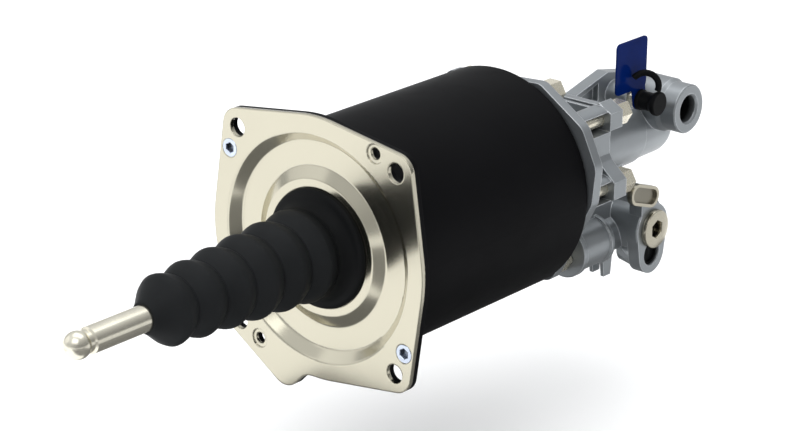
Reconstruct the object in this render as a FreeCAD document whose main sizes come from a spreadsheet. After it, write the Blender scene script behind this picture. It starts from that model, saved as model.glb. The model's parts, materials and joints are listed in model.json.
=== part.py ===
"""Air-assisted hydraulic clutch servo.

The servo's axis is Y. The push rod and its rubber gaiter point to -Y, the light-alloy rear
housing with the hydraulic cylinder lies at +Y, +Z is up and the ports face +X.
The origin is the centre of the front plate's outer face, which bolts to the clutch housing.
All lengths are in millimetres and all angles in degrees.
"""
import FreeCAD, Part
import math
import os

import Sketcher
from FreeCAD import Placement, Rotation, Vector

SIZES = {
    # mounting flange
    "mount_spacing": 110.0,
    "mount_hole": 10.5,
    "corner_round": 10.5,
    "small_corner_round": 8.4,
    "flange_round": 73.0,
    "plate_thickness": 2.5,
    "pot_flange_thickness": 3.0,
    "lobe_across": -22.5,
    "lobe_down": -73.0,
    "lobe_round": 11.0,
    "hollow_angle": -91.5,
    "hollow_round": 12.0,
    "screw_circle": 74.2,
    "screw_angle": 145.4,
    "screw_head": 10.8,
    "screw_shank": 6.0,
    "screw_drive": 4.6,
    "spare_angle": 56.6,
    "spare_hole": 6.3,
    "spare_seat": 10.5,
    "spare_seat_depth": 0.8,
    # pressed rings of the front plate
    "dish_outer_radius": 63.1,
    "dish_floor_outer_radius": 57.4,
    "dish_depth": 5.6,
    "dish_floor_inner_radius": 44.2,
    "boss_radius": 37.6,
    "boss_depth": 2.2,
    "gaiter_hole_radius": 33.0,
    # pot
    "bore": 125.0,
    "pot_wall": 1.75,
    "pot_end": 153.5,
    "pot_back_wall": 12.0,
    "pot_window_radius": 46.0,
    "pot_edge_round": 3.5,
    "pot_mouth_chamfer": 3.5,
    # gaiter
    "gaiter_folds": 6,
    "gaiter_wall": 1.8,
    "first_fold_y": -111.0,
    "last_fold_y": -14.2,
    "first_fold_radius": 18.0,
    "last_fold_radius": 24.8,
    "fold_depth": 2.3,
    "gaiter_tip_y": -124.6,
    "gaiter_bead": 1.2,
    # push rod
    "rod": 14.0,
    "rod_end_y": -168.4,
    "rod_ball": 14.4,
    "rod_ball_reach": 4.0,
    "rod_neck": 11.8,
    "rod_neck_length": 2.6,
    "rod_seat_y": 20.0,
    # air piston and its seals
    "piston_front": 8.4,
    "piston_length": 19.0,
    "piston_gap": 0.6,
    "piston_web": 5.0,
    "piston_rim": 6.0,
    "piston_hub_radius": 19.0,
    "piston_hub_front": 2.4,
    "piston_hub_back": 34.0,
    "running_gap": 0.05,
    "seal_lead": 2.5,
    "seal_width": 5.0,
    "seal_depth": 4.5,
    "band_width": 6.0,
    "band_depth": 2.0,
    # hydraulic plunger and its gland
    "plunger": 28.0,
    "plunger_end": 205.0,
    "spigot_radius": 11.0,
    "spigot_length": 6.0,
    "gland_radius": 18.0,
    "gland_front": 149.0,
    "gland_depth": 23.2,
    "gland_tube_radius": 24.0,
    "wiper_width": 3.4,
    "guide_width": 10.6,
    "cup_width": 5.6,
    "clip_width": 1.6,
    "clip_depth": 1.2,
    # return spring
    "spring_mean_radius": 28.5,
    "spring_wire": 3.4,
    "spring_turns": 7.5,
    # rear housing
    "gasket": 0.5,
    "rim_circle": 58.5,
    "rim_round": 11.2,
    "rim_low_angle": 17.0,
    "rim_high_angle": 34.0,
    "housing_flange_thickness": 6.5,
    "spigot_reach": 4.5,
    "drum_radius": 36.0,
    "drum_wall": 4.0,
    "drum_end": 203.0,
    "back_plate_top_z": 38.6,
    "back_plate_thickness": 5.0,
    "front_rib_gap": 2.4,
    "front_rib_thickness": 2.2,
    "barrel_radius": 22.6,
    "barrel_step_y": 266.0,
    "barrel_step": 1.1,
    "barrel_end": 298.0,
    "barrel_end_round": 7.0,
    "chamber_end": 288.0,
    "chamber_radius": 15.4,
    # tie bolts
    "bolt_circle": 57.0,
    "bolt": 8.0,
    "bolt_head_width": 13.0,
    "bolt_head_height": 11.0,
    "bolt_grip": 10.5,
    "bolt_gap": 0.1,
    "boss_round": 8.5,
    "upper_ear_angle": 38.0,
    "upper_ear_end": 197.0,
    "side_ear_angle": 0.0,
    "side_ear_end": 186.0,
    "ear_thickness": 11.3,
    "window_width": 11.0,
    "window_reach": 5.5,
    "ear_wall_x": 53.3,
    "low_bolt_angle": 64.0,
    "low_bolt_pitch": 60.5,
    # air duct and relay valve body
    "duct_across": 33.6,
    "duct_down": -43.0,
    "duct_radius": 14.0,
    "duct_start": 175.0,
    "duct_end": 201.0,
    "duct_plug": 18.0,
    "duct_plug_depth": 5.0,
    "relay_y": 226.0,
    "relay_z": -38.0,
    "relay_face_x": 57.0,
    "relay_mouth_radius": 14.0,
    "relay_root_radius": 15.5,
    "relay_root_x": 22.0,
    "relay_back_x": -28.0,
    "relay_bore": 18.0,
    "end_plug_start_x": -17.0,
    "exhaust_drop": 15.4,
    "exhaust_radius": 7.2,
    "exhaust_boss_radius": 12.0,
    "exhaust_boss_length": 19.0,
    "exhaust_depth": 9.0,
    "plug_thread": 14.0,
    "plug_head": 22.8,
    "plug_head_height": 3.2,
    "plug_length": 11.0,
    "plug_drive": 8.0,
    "plug_seat": 1.0,
    "end_plug_drive": 10.0,
    "relay_piston_x": -12.0,
    "relay_piston_length": 20.0,
    "relay_stem": 8.0,
    "relay_stem_end_x": 27.0,
    "valve_seat_x": 24.0,
    "valve_seat_width": 4.0,
    "valve_seat_bore": 10.0,
    "valve_disc": 14.0,
    "valve_disc_width": 3.8,
    "air_port_x": 34.0,
    "air_port_y": 248.0,
    "air_port_bore": 20.4,
    "air_port_depth": 12.0,
    "cover_x": 57.1,
    "cover_y": 219.6,
    "cover_z": -16.3,
    "cover_round": 6.3,
    "cover_reach": 15.0,
    "cover_tilt": -19.0,
    "cover_thickness": 3.4,
    # hydraulic port and bleed screw
    "port_y": 283.0,
    "port_z": 16.3,
    "port_face_x": 40.0,
    "port_radius": 14.8,
    "port_root_radius": 16.2,
    "port_root_x": 27.0,
    "port_bore": 16.2,
    "port_chamfer": 1.3,
    "port_depth": 18.0,
    "feed": 5.0,
    "block_left_x": 2.0,
    "block_right_x": 10.0,
    "block_recess": 4.0,
    "block_front_z": 31.2,
    "block_knee_y": 242.3,
    "block_knee_z": 42.5,
    "block_back_y": 277.0,
    "block_back_z": 35.2,
    "bleed_y": 247.8,
    "bleed_z": 28.6,
    "bleed_boss_radius": 7.0,
    "bleed_boss_x": 24.0,
    "bleed_thread": 8.0,
    "bleed_hex": 10.0,
    "bleed_hex_height": 4.0,
    "bleed_neck": 6.0,
    "bleed_tip_x": 38.0,
    "cap_radius": 5.5,
    "cap_rim_radius": 7.1,
    "cap_start_x": 29.4,
    "cap_end_x": 43.4,
    "strap_radius": 1.9,
    "tag_thickness": 1.0,
    "tag_width": 29.4,
    "tag_height": 30.8,
    "tag_bottom_z": 35.6,
    "tag_lead": 5.6,
}

doc = FreeCAD.newDocument("clutch_servo")
sheet = doc.addObject("Spreadsheet::Sheet", "Sizes")
for row, (alias, number) in enumerate(SIZES.items(), start=1):
    sheet.set(f"A{row}", alias)
    sheet.set(f"B{row}", str(number))
    sheet.setAlias(f"B{row}", alias)
doc.recompute()


class Size:
    """A number together with the spreadsheet formula that it comes from."""

    def __init__(self, number, formula=None):
        self.number = float(number)
        self.formula = formula or repr(float(number))

    def combine(self, other, sign, number):
        return Size(number, f"({self.formula} {sign} {as_size(other).formula})")

    def __add__(self, other):
        return self.combine(other, "+", self.number + as_size(other).number)

    def __sub__(self, other):
        return self.combine(other, "-", self.number - as_size(other).number)

    def __mul__(self, other):
        return self.combine(other, "*", self.number * as_size(other).number)

    def __truediv__(self, other):
        return self.combine(other, "/", self.number / as_size(other).number)

    def __neg__(self):
        return self * -1.0


def as_size(value):
    return value if isinstance(value, Size) else Size(value)


def size(alias):
    return Size(sheet.get(alias), f"Sizes.{alias}")


def cosine(angle):
    return Size(math.cos(math.radians(angle.number)), f"cos({angle.formula} * 1 deg)")


def sine(angle):
    return Size(math.sin(math.radians(angle.number)), f"sin({angle.formula} * 1 deg)")


def polar(radius, angle):
    return radius * cosine(angle), radius * sine(angle)


ZERO = Size(0.0, "0")


def new_body(label):
    body = doc.addObject("PartDesign::Body", label)
    body.Label = label
    return body


def sketch_on(body, role, name, along=ZERO):
    """A sketch on one of the body's origin planes, moved along the plane's normal."""
    sketch = body.newObject("Sketcher::SketchObject", name)
    plane = next(f for f in body.Origin.OriginFeatures if f.Role == role)
    sketch.AttachmentSupport = [(plane, "")]
    sketch.MapMode = "FlatFace"
    if along is not ZERO:
        sketch.AttachmentOffset = Placement(Vector(0, 0, along.number), Rotation())
        sketch.setExpression("AttachmentOffset.Base.z", along.formula)
    return sketch


def hold(sketch, constraint, value):
    """Adds a dimension and ties it to its formula."""
    index = sketch.addConstraint(constraint)
    sketch.setExpression(f"Constraints[{index}]", value.formula)


def pin(sketch, geometry, point, across, up):
    """Fixes a point of a sketch by its two distances from the sketch's origin."""
    for kind, value, axis in (("DistanceX", across, -2), ("DistanceY", up, -1)):
        if value.number == 0.0:
            sketch.addConstraint(Sketcher.Constraint("PointOnObject", geometry, point, axis))
        else:
            hold(sketch, Sketcher.Constraint(kind, -1, 1, geometry, point, value.number), value)


def polygon(sketch, points):
    """A closed run of straight lines."""
    corners = [Vector(as_size(u).number, as_size(v).number, 0) for u, v in points]
    first = sketch.GeometryCount
    count = len(corners)
    for i, corner in enumerate(corners):
        sketch.addGeometry(Part.LineSegment(corner, corners[(i + 1) % count]))
    for i in range(count):
        following = first + (i + 1) % count
        sketch.addConstraint(Sketcher.Constraint("Coincident", first + i, 2, following, 1))
    for i, (u, v) in enumerate(points):
        pin(sketch, first + i, 1, as_size(u), as_size(v))


def circle(sketch, across, up, radius):
    centre = Vector(across.number, up.number, 0)
    index = sketch.addGeometry(Part.Circle(centre, Vector(0, 0, 1), radius.number))
    pin(sketch, index, 3, across, up)
    hold(sketch, Sketcher.Constraint("Radius", index, radius.number), radius)


def hexagon(sketch, across, up, width, first_corner=0.0):
    """A regular hexagon of the given width across its flats."""
    corner_radius = width / math.sqrt(3.0)
    corners = [Size(first_corner + 60.0 * i) for i in range(6)]
    polygon(sketch, [(across + corner_radius * cosine(a), up + corner_radius * sine(a)) for a in corners])


def tangent_angle(one, two):
    """Direction of the line that leaves circle one and meets circle two with both on its left.

    A circle is (across, up, radius), and a hollow one has its radius below zero.
    """
    du = two[0].number - one[0].number
    dv = two[1].number - one[1].number
    turn = (two[2].number - one[2].number) / math.hypot(du, dv)
    return math.atan2(dv, du) - math.asin(turn)


def belt(sketch, circles):
    """The closed outline that runs round circles, joined by their common tangent lines."""
    count = len(circles)
    first = sketch.GeometryCount
    leave = [tangent_angle(circles[i], circles[(i + 1) % count]) for i in range(count)]
    for i, (u, v, radius) in enumerate(circles):
        centre = Vector(u.number, v.number, 0)
        bulge = radius.number > 0
        side = -math.pi / 2 if bulge else math.pi / 2
        arrive, depart = leave[i - 1] + side, leave[i] + side
        start, end = (arrive, depart) if bulge else (depart, arrive)
        span = (end - start) % (2 * math.pi)
        full = Part.Circle(centre, Vector(0, 0, 1), abs(radius.number))
        sketch.addGeometry(Part.ArcOfCircle(full, start, start + span))
    for i in range(count):
        ends = []
        for j, k in ((i, i), ((i + 1) % count, i)):
            u, v, radius = circles[j]
            normal = Vector(-math.sin(leave[k]), math.cos(leave[k]), 0)
            ends.append(Vector(u.number, v.number, 0) - normal * radius.number)
        sketch.addGeometry(Part.LineSegment(*ends))
    for i, (u, v, radius) in enumerate(circles):
        pin(sketch, first + i, 3, u, v)
        reach = radius if radius.number > 0 else -radius
        hold(sketch, Sketcher.Constraint("Radius", first + i, reach.number), reach)
        line, before = first + count + i, first + count + (i - 1) % count
        out_end, in_end = (2, 1) if radius.number > 0 else (1, 2)
        sketch.addConstraint(Sketcher.Constraint("Tangent", line, 1, first + i, out_end))
        sketch.addConstraint(Sketcher.Constraint("Tangent", before, 2, first + i, in_end))


def extrude(body, kind, name, sketch, length, backwards=False, through=False):
    """A Pad or a Pocket of the given length."""
    feature = body.newObject(f"PartDesign::{kind}", name)
    feature.Profile = sketch
    feature.Reversed = backwards
    if through:
        feature.Type = "ThroughAll"
        feature.Midplane = True
    else:
        feature.Length = length.number
        feature.setExpression("Length", length.formula)
    doc.recompute()
    return feature


def prism(body, kind, name, role, start, end, draw):
    """A Pad or Pocket between two places along X, Y or Z, with the profile drawn by draw(sketch)."""
    along_y = role == "XZ_Plane"
    sketch = sketch_on(body, role, name + "_profile", -start if along_y else start)
    draw(sketch)
    backwards = along_y if kind == "Pad" else not along_y
    return extrude(body, kind, name, sketch, end - start, backwards)


def along_y(body, kind, name, start, end, draw):
    return prism(body, kind, name, "XZ_Plane", start, end, draw)


def along_x(body, kind, name, start, end, draw):
    return prism(body, kind, name, "YZ_Plane", start, end, draw)


def along_z(body, kind, name, start, end, draw):
    return prism(body, kind, name, "XY_Plane", start, end, draw)


def turn(body, kind, name, sketch, axis="V_Axis"):
    """A Revolution or a Groove of a full turn."""
    feature = body.newObject(f"PartDesign::{kind}", name)
    feature.Profile = sketch
    feature.ReferenceAxis = (sketch, [axis])
    feature.Angle = 360.0
    doc.recompute()
    return feature


def lathe(body, name, points, kind="Revolution"):
    """A shape turned about the servo's axis from (radius, y) points."""
    sketch = sketch_on(body, "XY_Plane", name + "_profile")
    polygon(sketch, points)
    return turn(body, kind, name, sketch)


def crossways(body, name, points, y, z, kind="Revolution"):
    """A shape turned about a line along X at (y, z) from (x, radius) points."""
    sketch = sketch_on(body, "XY_Plane", name + "_profile", z)
    line = sketch.addGeometry(Part.LineSegment(Vector(0, y.number, 0), Vector(1, y.number, 0)), True)
    pin(sketch, line, 1, ZERO, y)
    pin(sketch, line, 2, Size(1.0), y)
    polygon(sketch, [(x, y + radius) for x, radius in points])
    return turn(body, kind, name, sketch, "Axis0")


def ring_edges(shape, centre, radius, normal=Vector(0, 1, 0), slack=0.02):
    """Names of the circular edges with this centre and radius."""
    names = []
    for index, edge in enumerate(shape.Edges, start=1):
        curve = edge.Curve
        if isinstance(curve, Part.Circle) and abs(curve.Radius - radius) < slack:
            if (curve.Center - centre).Length < slack and abs(curve.Axis.dot(normal)) > 0.99:
                names.append(f"Edge{index}")
    if not names:
        raise ValueError(f"no circular edge of radius {radius} at {centre}")
    return names


def round_edges(body, name, names, radius, kind="Fillet"):
    """Rounds or chamfers edges of the body's last feature."""
    feature = body.newObject(f"PartDesign::{kind}", name)
    feature.Base = (body.Group[-2], names)
    prop = "Radius" if kind == "Fillet" else "Size"
    setattr(feature, prop, radius.number)
    feature.setExpression(prop, radius.formula)
    doc.recompute()
    return feature


def axial_rings(body, places):
    """Edges of the body's shape at the given (radius, y) places round the servo's axis."""
    names = []
    for radius, y in places:
        names += ring_edges(body.Shape, Vector(0, as_size(y).number, 0), as_size(radius).number)
    return names


# mounting flange, shared by the plate and the pot

half_mount = size("mount_spacing") / 2.0
pot_flange_back = size("plate_thickness") + size("pot_flange_thickness")


def flange_outline(sketch):
    round_, small = size("corner_round"), size("small_corner_round")
    main = (ZERO, ZERO, size("flange_round"))
    hollow = polar(size("flange_round") + size("hollow_round") + 0.1, size("hollow_angle"))
    belt(
        sketch,
        [
            (half_mount, half_mount, round_),
            main,
            (-half_mount, half_mount, round_),
            main,
            (-half_mount, -half_mount, small),
            (size("lobe_across"), size("lobe_down"), size("lobe_round")),
            (*hollow, -size("hollow_round")),
            main,
            (half_mount, -half_mount, round_),
            main,
        ],
    )


def mount_holes(sketch):
    for across in (half_mount, -half_mount):
        for up in (half_mount, -half_mount):
            circle(sketch, across, up, size("mount_hole") / 2.0)


def opposite(angle):
    return (angle, angle + 180.0)


def drawing(shape, *parameters):
    """A profile made of one shape, for the prisms."""
    return lambda sketch: shape(sketch, *parameters)


def front_plate():
    body = new_body("front_plate")
    outline = sketch_on(body, "XZ_Plane", "plate_outline")
    flange_outline(outline)
    extrude(body, "Pad", "plate_sheet", outline, size("plate_thickness"), backwards=True)
    opening = sketch_on(body, "XZ_Plane", "plate_opening")
    circle(opening, ZERO, ZERO, size("dish_outer_radius") + 2.0)
    extrude(body, "Pocket", "plate_cut", opening, None, through=True)
    thick = size("plate_thickness")
    face = [
        (size("dish_outer_radius") + 2.0, ZERO),
        (size("dish_outer_radius"), ZERO),
        (size("dish_floor_outer_radius"), size("dish_depth")),
        (size("dish_floor_inner_radius"), size("dish_depth")),
        (size("boss_radius"), size("boss_depth")),
        (size("gaiter_hole_radius"), size("boss_depth")),
    ]
    back = [(radius, y + thick) for radius, y in reversed(face)]
    lathe(body, "plate_dish", face + back)
    folds = [(radius, as_size(y) + lift) for radius, y in face[1:5] for lift in (ZERO, thick)]
    round_edges(body, "plate_folds", axial_rings(body, folds), Size(1.6))
    holes = sketch_on(body, "XZ_Plane", "plate_mount_holes")
    mount_holes(holes)
    for angle in opposite(size("spare_angle")):
        circle(holes, *polar(size("screw_circle"), angle), size("spare_hole") / 2.0)
    for angle in opposite(size("screw_angle")):
        circle(holes, *polar(size("screw_circle"), angle), size("screw_shank") / 2.0 + 0.1)
    extrude(body, "Pocket", "plate_holes", holes, None, through=True)
    seats = sketch_on(body, "XZ_Plane", "spare_seats")
    for angle in opposite(size("spare_angle")):
        circle(seats, *polar(size("screw_circle"), angle), size("spare_seat") / 2.0)
    extrude(body, "Pocket", "plate_seats", seats, size("spare_seat_depth"))
    rims = []
    for angle in opposite(size("screw_angle")):
        across, up = polar(size("screw_circle"), angle)
        centre = Vector(across.number, 0, up.number)
        rims += ring_edges(body.Shape, centre, size("screw_shank").number / 2 + 0.1)
    sink = (size("screw_head") - size("screw_shank")) / 2.0 - 0.1
    round_edges(body, "screw_sinks", rims, sink, kind="Chamfer")


def plate_screws():
    body = new_body("plate_screws")
    shank = size("screw_shank") / 2.0
    head = sketch_on(body, "XZ_Plane", "screw_shanks")
    for angle in opposite(size("screw_angle")):
        circle(head, *polar(size("screw_circle"), angle), shank)
    extrude(body, "Pad", "screw_pad", head, pot_flange_back + 2.5, backwards=True)
    rise = (size("screw_head") - size("screw_shank")) / 2.0 - 0.3
    for place, angle in enumerate(opposite(size("screw_angle"))):
        across, up = polar(size("screw_circle"), angle)
        sketch = sketch_on(body, "XY_Plane", f"screw_head_{place}", up)
        foot = Vector(across.number, 0, 0)
        line = sketch.addGeometry(Part.LineSegment(foot, foot + Vector(0, 1, 0)), True)
        pin(sketch, line, 1, across, ZERO)
        pin(sketch, line, 2, across, Size(1.0))
        start = Size(0.1)
        polygon(
            sketch,
            [
                (across, start),
                (across + shank + rise, start),
                (across + shank, start + rise),
                (across, start + rise),
            ],
        )
        turn(body, "Revolution", f"screw_cone_{place}", sketch, "Axis0")
    sockets = sketch_on(body, "XZ_Plane", "screw_sockets", Size(-0.1))
    for angle in opposite(size("screw_angle")):
        hexagon(sockets, *polar(size("screw_circle"), angle), size("screw_drive"))
    extrude(body, "Pocket", "screw_drives", sockets, Size(2.4))


def cylinder_pot():
    body = new_body("cylinder_pot")
    start = size("plate_thickness")
    along_y(body, "Pad", "pot_flange", start, pot_flange_back, flange_outline)
    bore, outer, end = size("bore") / 2.0, size("bore") / 2.0 + size("pot_wall"), size("pot_end")
    lathe(body, "pot_barrel", [(0, start), (outer, start), (outer, end), (0, end)])
    round_edges(body, "pot_edge", axial_rings(body, [(outer, end)]), size("pot_edge_round"))
    mouth = bore + size("pot_mouth_chamfer")
    wall_front = end - size("pot_back_wall")
    window = size("pot_window_radius")
    inside = [
        (0, 0),
        (mouth, 0),
        (mouth, start),
        (bore, start + size("pot_mouth_chamfer")),
        (bore, wall_front),
        (window, wall_front),
        (window, end + 1.0),
        (0, end + 1.0),
    ]
    lathe(body, "pot_bore", inside, "Groove")
    holes = sketch_on(body, "XZ_Plane", "pot_flange_holes")
    mount_holes(holes)
    for angle in opposite(size("spare_angle")):
        circle(holes, *polar(size("screw_circle"), angle), size("spare_hole") / 2.0)
    for angle in opposite(size("screw_angle")):
        circle(holes, *polar(size("screw_circle"), angle), size("screw_shank") / 2.0 + 0.1)
    extrude(body, "Pocket", "pot_flange_drillings", holes, pot_flange_back + 1.0)
    depth = size("bolt_grip") - 1.0 + 1.0
    along_y(body, "Pocket", "pot_threads", end - depth, end + 1.0, bolt_holes)


low_bolts = [size("low_bolt_angle") + size("low_bolt_pitch") * i for i in range(5)]
ear_bolts = [size("side_ear_angle"), size("upper_ear_angle")]


def housing_outline(margin):
    """The housing flange's outline: round each bolt, with a wider rim between the two ears."""
    boss = size("boss_round") - margin
    rim = size("rim_round") - margin
    rims = [(*polar(size("rim_circle"), size(angle)), rim) for angle in ("rim_low_angle", "rim_high_angle")]
    bolts = [(*polar(size("bolt_circle"), angle), boss) for angle in low_bolts]
    side = (*polar(size("bolt_circle"), size("side_ear_angle")), boss)
    return drawing(belt, [side, *rims, *bolts])


def bolt_holes(sketch):
    for angle in low_bolts + ear_bolts:
        circle(sketch, *polar(size("bolt_circle"), angle), size("bolt") / 2.0 + size("bolt_gap"))


def housing_gasket():
    body = new_body("housing_gasket")
    start = size("pot_end")
    end = start + size("gasket")
    along_y(body, "Pad", "gasket_sheet", start, end, housing_outline(Size(0.3)))
    inner = drawing(circle, ZERO, ZERO, size("pot_window_radius") + 0.2)
    along_y(body, "Pocket", "gasket_opening", start - 1.0, end + 1.0, inner)
    along_y(body, "Pocket", "gasket_holes", start - 1.0, end + 1.0, bolt_holes)


def gaiter():
    body = new_body("gaiter")
    wall, rod = size("gaiter_wall"), size("rod") / 2.0
    tip = size("gaiter_tip_y")
    first, last = size("first_fold_y"), size("last_fold_y")
    small, large = size("first_fold_radius"), size("last_fold_radius")
    folds = int(size("gaiter_folds").number)
    pitch = (last - first) / (folds - 1.0)
    swell = (large - small) / (folds - 1.0)
    wave = []
    for i in range(folds):
        crest = small + swell * i
        wave.append((crest, first + pitch * i))
        wave.append((crest - size("fold_depth") + 0.3, first + pitch * (i + 0.48)))
    front = [(rod + size("gaiter_bead"), tip), (rod + 4.0, tip + 4.6), (small - 2.8, tip + 9.2)]
    hole = size("gaiter_hole_radius")
    step = size("boss_depth")
    collar = [
        (hole - 2.0, step - 2.4),
        (hole - 0.1, step - 1.2),
        (hole - 0.1, step + size("plate_thickness") + 0.1),
        (hole + 3.0, step + size("plate_thickness") + 0.1),
        (hole + 3.0, step + size("plate_thickness") + 2.2),
        (hole - 2.4, step + size("plate_thickness") + 2.2),
        (hole - 3.4, step),
    ]
    inside = [(radius - wall, y) for radius, y in reversed(wave)]
    inside[0] = (inside[0][0], inside[0][1] + 1.2)
    nose = [(small - 4.0, tip + 10.6), (rod + 2.2, tip + 5.6), (rod + 0.03, tip + 4.6), (rod + 0.03, tip)]
    lathe(body, "gaiter_skin", front + wave + collar + inside + nose)


def push_rod():
    body = new_body("push_rod")
    radius = size("rod") / 2.0
    tip, neck = size("rod_end_y"), size("rod_neck") / 2.0
    ball_back = tip + size("rod_ball_reach")
    shoulder = ball_back + size("rod_neck_length")
    seat = size("rod_seat_y") - radius
    half_clip = size("clip_width") / 2.0
    shank = [
        (0, ball_back - 1.0),
        (neck, ball_back - 1.0),
        (neck, shoulder),
        (radius, shoulder + 0.8),
        (radius, seat - half_clip),
        (radius - size("clip_depth"), seat - half_clip),
        (radius - size("clip_depth"), seat + half_clip),
        (0, seat + half_clip),
    ]
    lathe(body, "rod_shank", shank)
    ball(body, "rod_tip", tip, size("rod_ball") / 2.0, -1.0, ball_back)
    ball(body, "rod_heel", seat, radius, 1.0, seat + half_clip)


def ball(body, name, centre, radius, side, cut):
    """The cap of a ball on the servo's axis, beyond the height cut towards side."""
    sketch = sketch_on(body, "XY_Plane", name + "_profile")
    reach = abs(cut.number - centre.number)
    edge = math.sqrt(radius.number ** 2 - reach ** 2)
    turn_start = math.atan2(cut.number - centre.number, edge)
    start, end = sorted((turn_start, side * math.pi / 2))
    middle = Vector(0, centre.number, 0)
    round_line = Part.Circle(middle, Vector(0, 0, 1), radius.number)
    arc = sketch.addGeometry(Part.ArcOfCircle(round_line, start, end))
    flat_end, top_end = (1, 2) if side > 0 else (2, 1)
    corner = Vector(edge, cut.number, 0)
    foot = Vector(0, cut.number, 0)
    top = Vector(0, centre.number + side * radius.number, 0)
    base = sketch.addGeometry(Part.LineSegment(foot, corner))
    stem = sketch.addGeometry(Part.LineSegment(foot, top))
    sketch.addConstraint(Sketcher.Constraint("Coincident", base, 1, stem, 1))
    sketch.addConstraint(Sketcher.Constraint("Coincident", base, 2, arc, flat_end))
    sketch.addConstraint(Sketcher.Constraint("Coincident", stem, 2, arc, top_end))
    sketch.addConstraint(Sketcher.Constraint("Horizontal", base))
    pin(sketch, arc, 3, ZERO, centre)
    pin(sketch, base, 1, ZERO, cut)
    sketch.addConstraint(Sketcher.Constraint("PointOnObject", stem, 2, -2))
    hold(sketch, Sketcher.Constraint("Radius", arc, radius.number), radius)
    return turn(body, "Revolution", name, sketch)


def rod_clip():
    body = new_body("rod_clip")
    radius = size("rod") / 2.0
    middle = size("rod_seat_y") - radius
    half = size("clip_width") / 2.0 - 0.05
    inner, outer = radius - size("clip_depth") + 0.05, radius + 1.9
    front, back = middle - half, middle + half
    lathe(body, "clip_ring", [(inner, front), (outer, front), (outer, back), (inner, back)])


def piston_grooves():
    """Places of the piston's two grooves along Y: the lip seal's and the guide ring's."""
    start = size("piston_front") + size("seal_lead")
    band = size("piston_front") + size("piston_length") - size("seal_lead") - size("band_width")
    return (start, start + size("seal_width")), (band, band + size("band_width"))


def air_piston():
    body = new_body("air_piston")
    outer = size("bore") / 2.0 - size("piston_gap")
    inner = outer - size("piston_rim")
    front = size("piston_front")
    web = front + size("piston_web")
    back = front + size("piston_length")
    hub = size("piston_hub_radius")
    hub_front, hub_back = size("piston_hub_front"), size("piston_hub_back")
    rod = size("rod") / 2.0
    seat = size("rod_seat_y") - rod
    cone = seat + rod * math.sqrt(2.0) + 0.1
    neck = rod + 0.45
    room = size("clip_width") / 2.0 + 0.9
    spigot = size("spigot_radius") + size("running_gap")
    floor = hub_back - size("spigot_length") - 0.2
    profile = [
        (0, floor),
        (spigot, floor),
        (spigot, hub_back),
        (hub, hub_back),
        (hub, web),
        (inner, web),
        (inner, back),
        (outer, back),
        (outer, front),
        (hub, front),
        (hub, hub_front),
        (rod + 1.2, hub_front),
        (neck, seat - room),
        (rod + 2.6, seat - room),
        (rod + 2.6, seat + room),
        (neck, seat + room),
        (neck, cone - neck),
        (2.0, cone - 2.0),
        (0, cone - 2.0),
    ]
    lathe(body, "piston_disc", profile)
    for name, depth, (start, end) in zip(
        ("seal_groove", "band_groove"),
        (size("seal_depth"), size("band_depth")),
        piston_grooves(),
    ):
        floor, rim = outer - depth, outer + 1.0
        lathe(body, name, [(floor, start), (rim, start), (rim, end), (floor, end)], "Groove")


def piston_lip_seal():
    body = new_body("piston_lip_seal")
    outer = size("bore") / 2.0 - size("running_gap")
    root = size("bore") / 2.0 - size("piston_gap") - size("seal_depth") + size("running_gap")
    start, end = piston_grooves()[0]
    start, end = start + 0.1, end - 0.1
    profile = [
        (root, start),
        (outer - 0.4, start),
        (outer - 0.4, start + 1.6),
        (outer, end),
        (outer - 1.3, end),
        (root + 2.0, start + 2.0),
        (root + 1.2, end),
        (root, end),
    ]
    lathe(body, "lip_ring", profile)


def piston_guide_ring():
    body = new_body("piston_guide_ring")
    outer = size("bore") / 2.0 - size("running_gap")
    root = size("bore") / 2.0 - size("piston_gap") - size("band_depth") + size("running_gap")
    start, end = piston_grooves()[1]
    front, back = start + 0.1, end - 0.1
    lathe(body, "guide_band", [(root, front), (outer, front), (outer, back), (root, back)])


def hydraulic_plunger():
    body = new_body("hydraulic_plunger")
    radius, spigot = size("plunger") / 2.0, size("spigot_radius")
    shoulder, end = size("piston_hub_back") + 0.05, size("plunger_end")
    profile = [
        (0, shoulder - size("spigot_length")),
        (spigot, shoulder - size("spigot_length")),
        (spigot, shoulder),
        (radius, shoulder),
        (radius, end - 1.5),
        (radius - 1.5, end),
        (0, end),
    ]
    lathe(body, "plunger_shank", profile)


gland_clip_end = size("gland_front") + 1.0 + size("clip_width")
wiper_end = gland_clip_end + 0.1 + size("wiper_width")
guide_end = wiper_end + 0.2 + size("guide_width")


def gland_part(label, start, end, profile=None):
    """A ring in the gland, between the plunger and the gland's bore."""
    body = new_body(label)
    gap = size("running_gap")
    inner, outer = size("plunger") / 2.0 + gap, size("gland_radius") - gap
    profile = profile or (lambda a, b: [(a, start), (b, start), (b, end), (a, end)])
    lathe(body, label + "_ring", profile(inner, outer))


def gland_ring():
    body = new_body("gland_ring")
    start = size("gland_front") + 1.0
    inner, outer = size("plunger") / 2.0 + 1.2, size("gland_radius") + size("clip_depth") - 0.05
    end = start + size("clip_width") - 0.1
    lathe(body, "ring_band", [(inner, start), (outer, start), (outer, end), (inner, end)])


def gland_wiper():
    start, end = gland_clip_end, wiper_end
    gland_part(
        "gland_wiper",
        start,
        end,
        lambda a, b: [
            (a, start),
            (a + 0.7, start),
            (a + 1.8, start + 1.6),
            (b, start + 1.6),
            (b, end),
            (a + 1.0, end),
        ],
    )


def gland_bush():
    gland_part("gland_bush", wiper_end + 0.1, guide_end)


def gland_seal():
    start, end = guide_end + 0.1, guide_end + 0.1 + size("cup_width")
    gland_part(
        "gland_seal",
        start,
        end,
        lambda a, b: [
            (a, start),
            (b, start),
            (b, end),
            (b - 0.9, end),
            ((a + b) / 2.0, start + 2.2),
            (a + 0.9, end),
            (a, end),
        ],
    )


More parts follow.
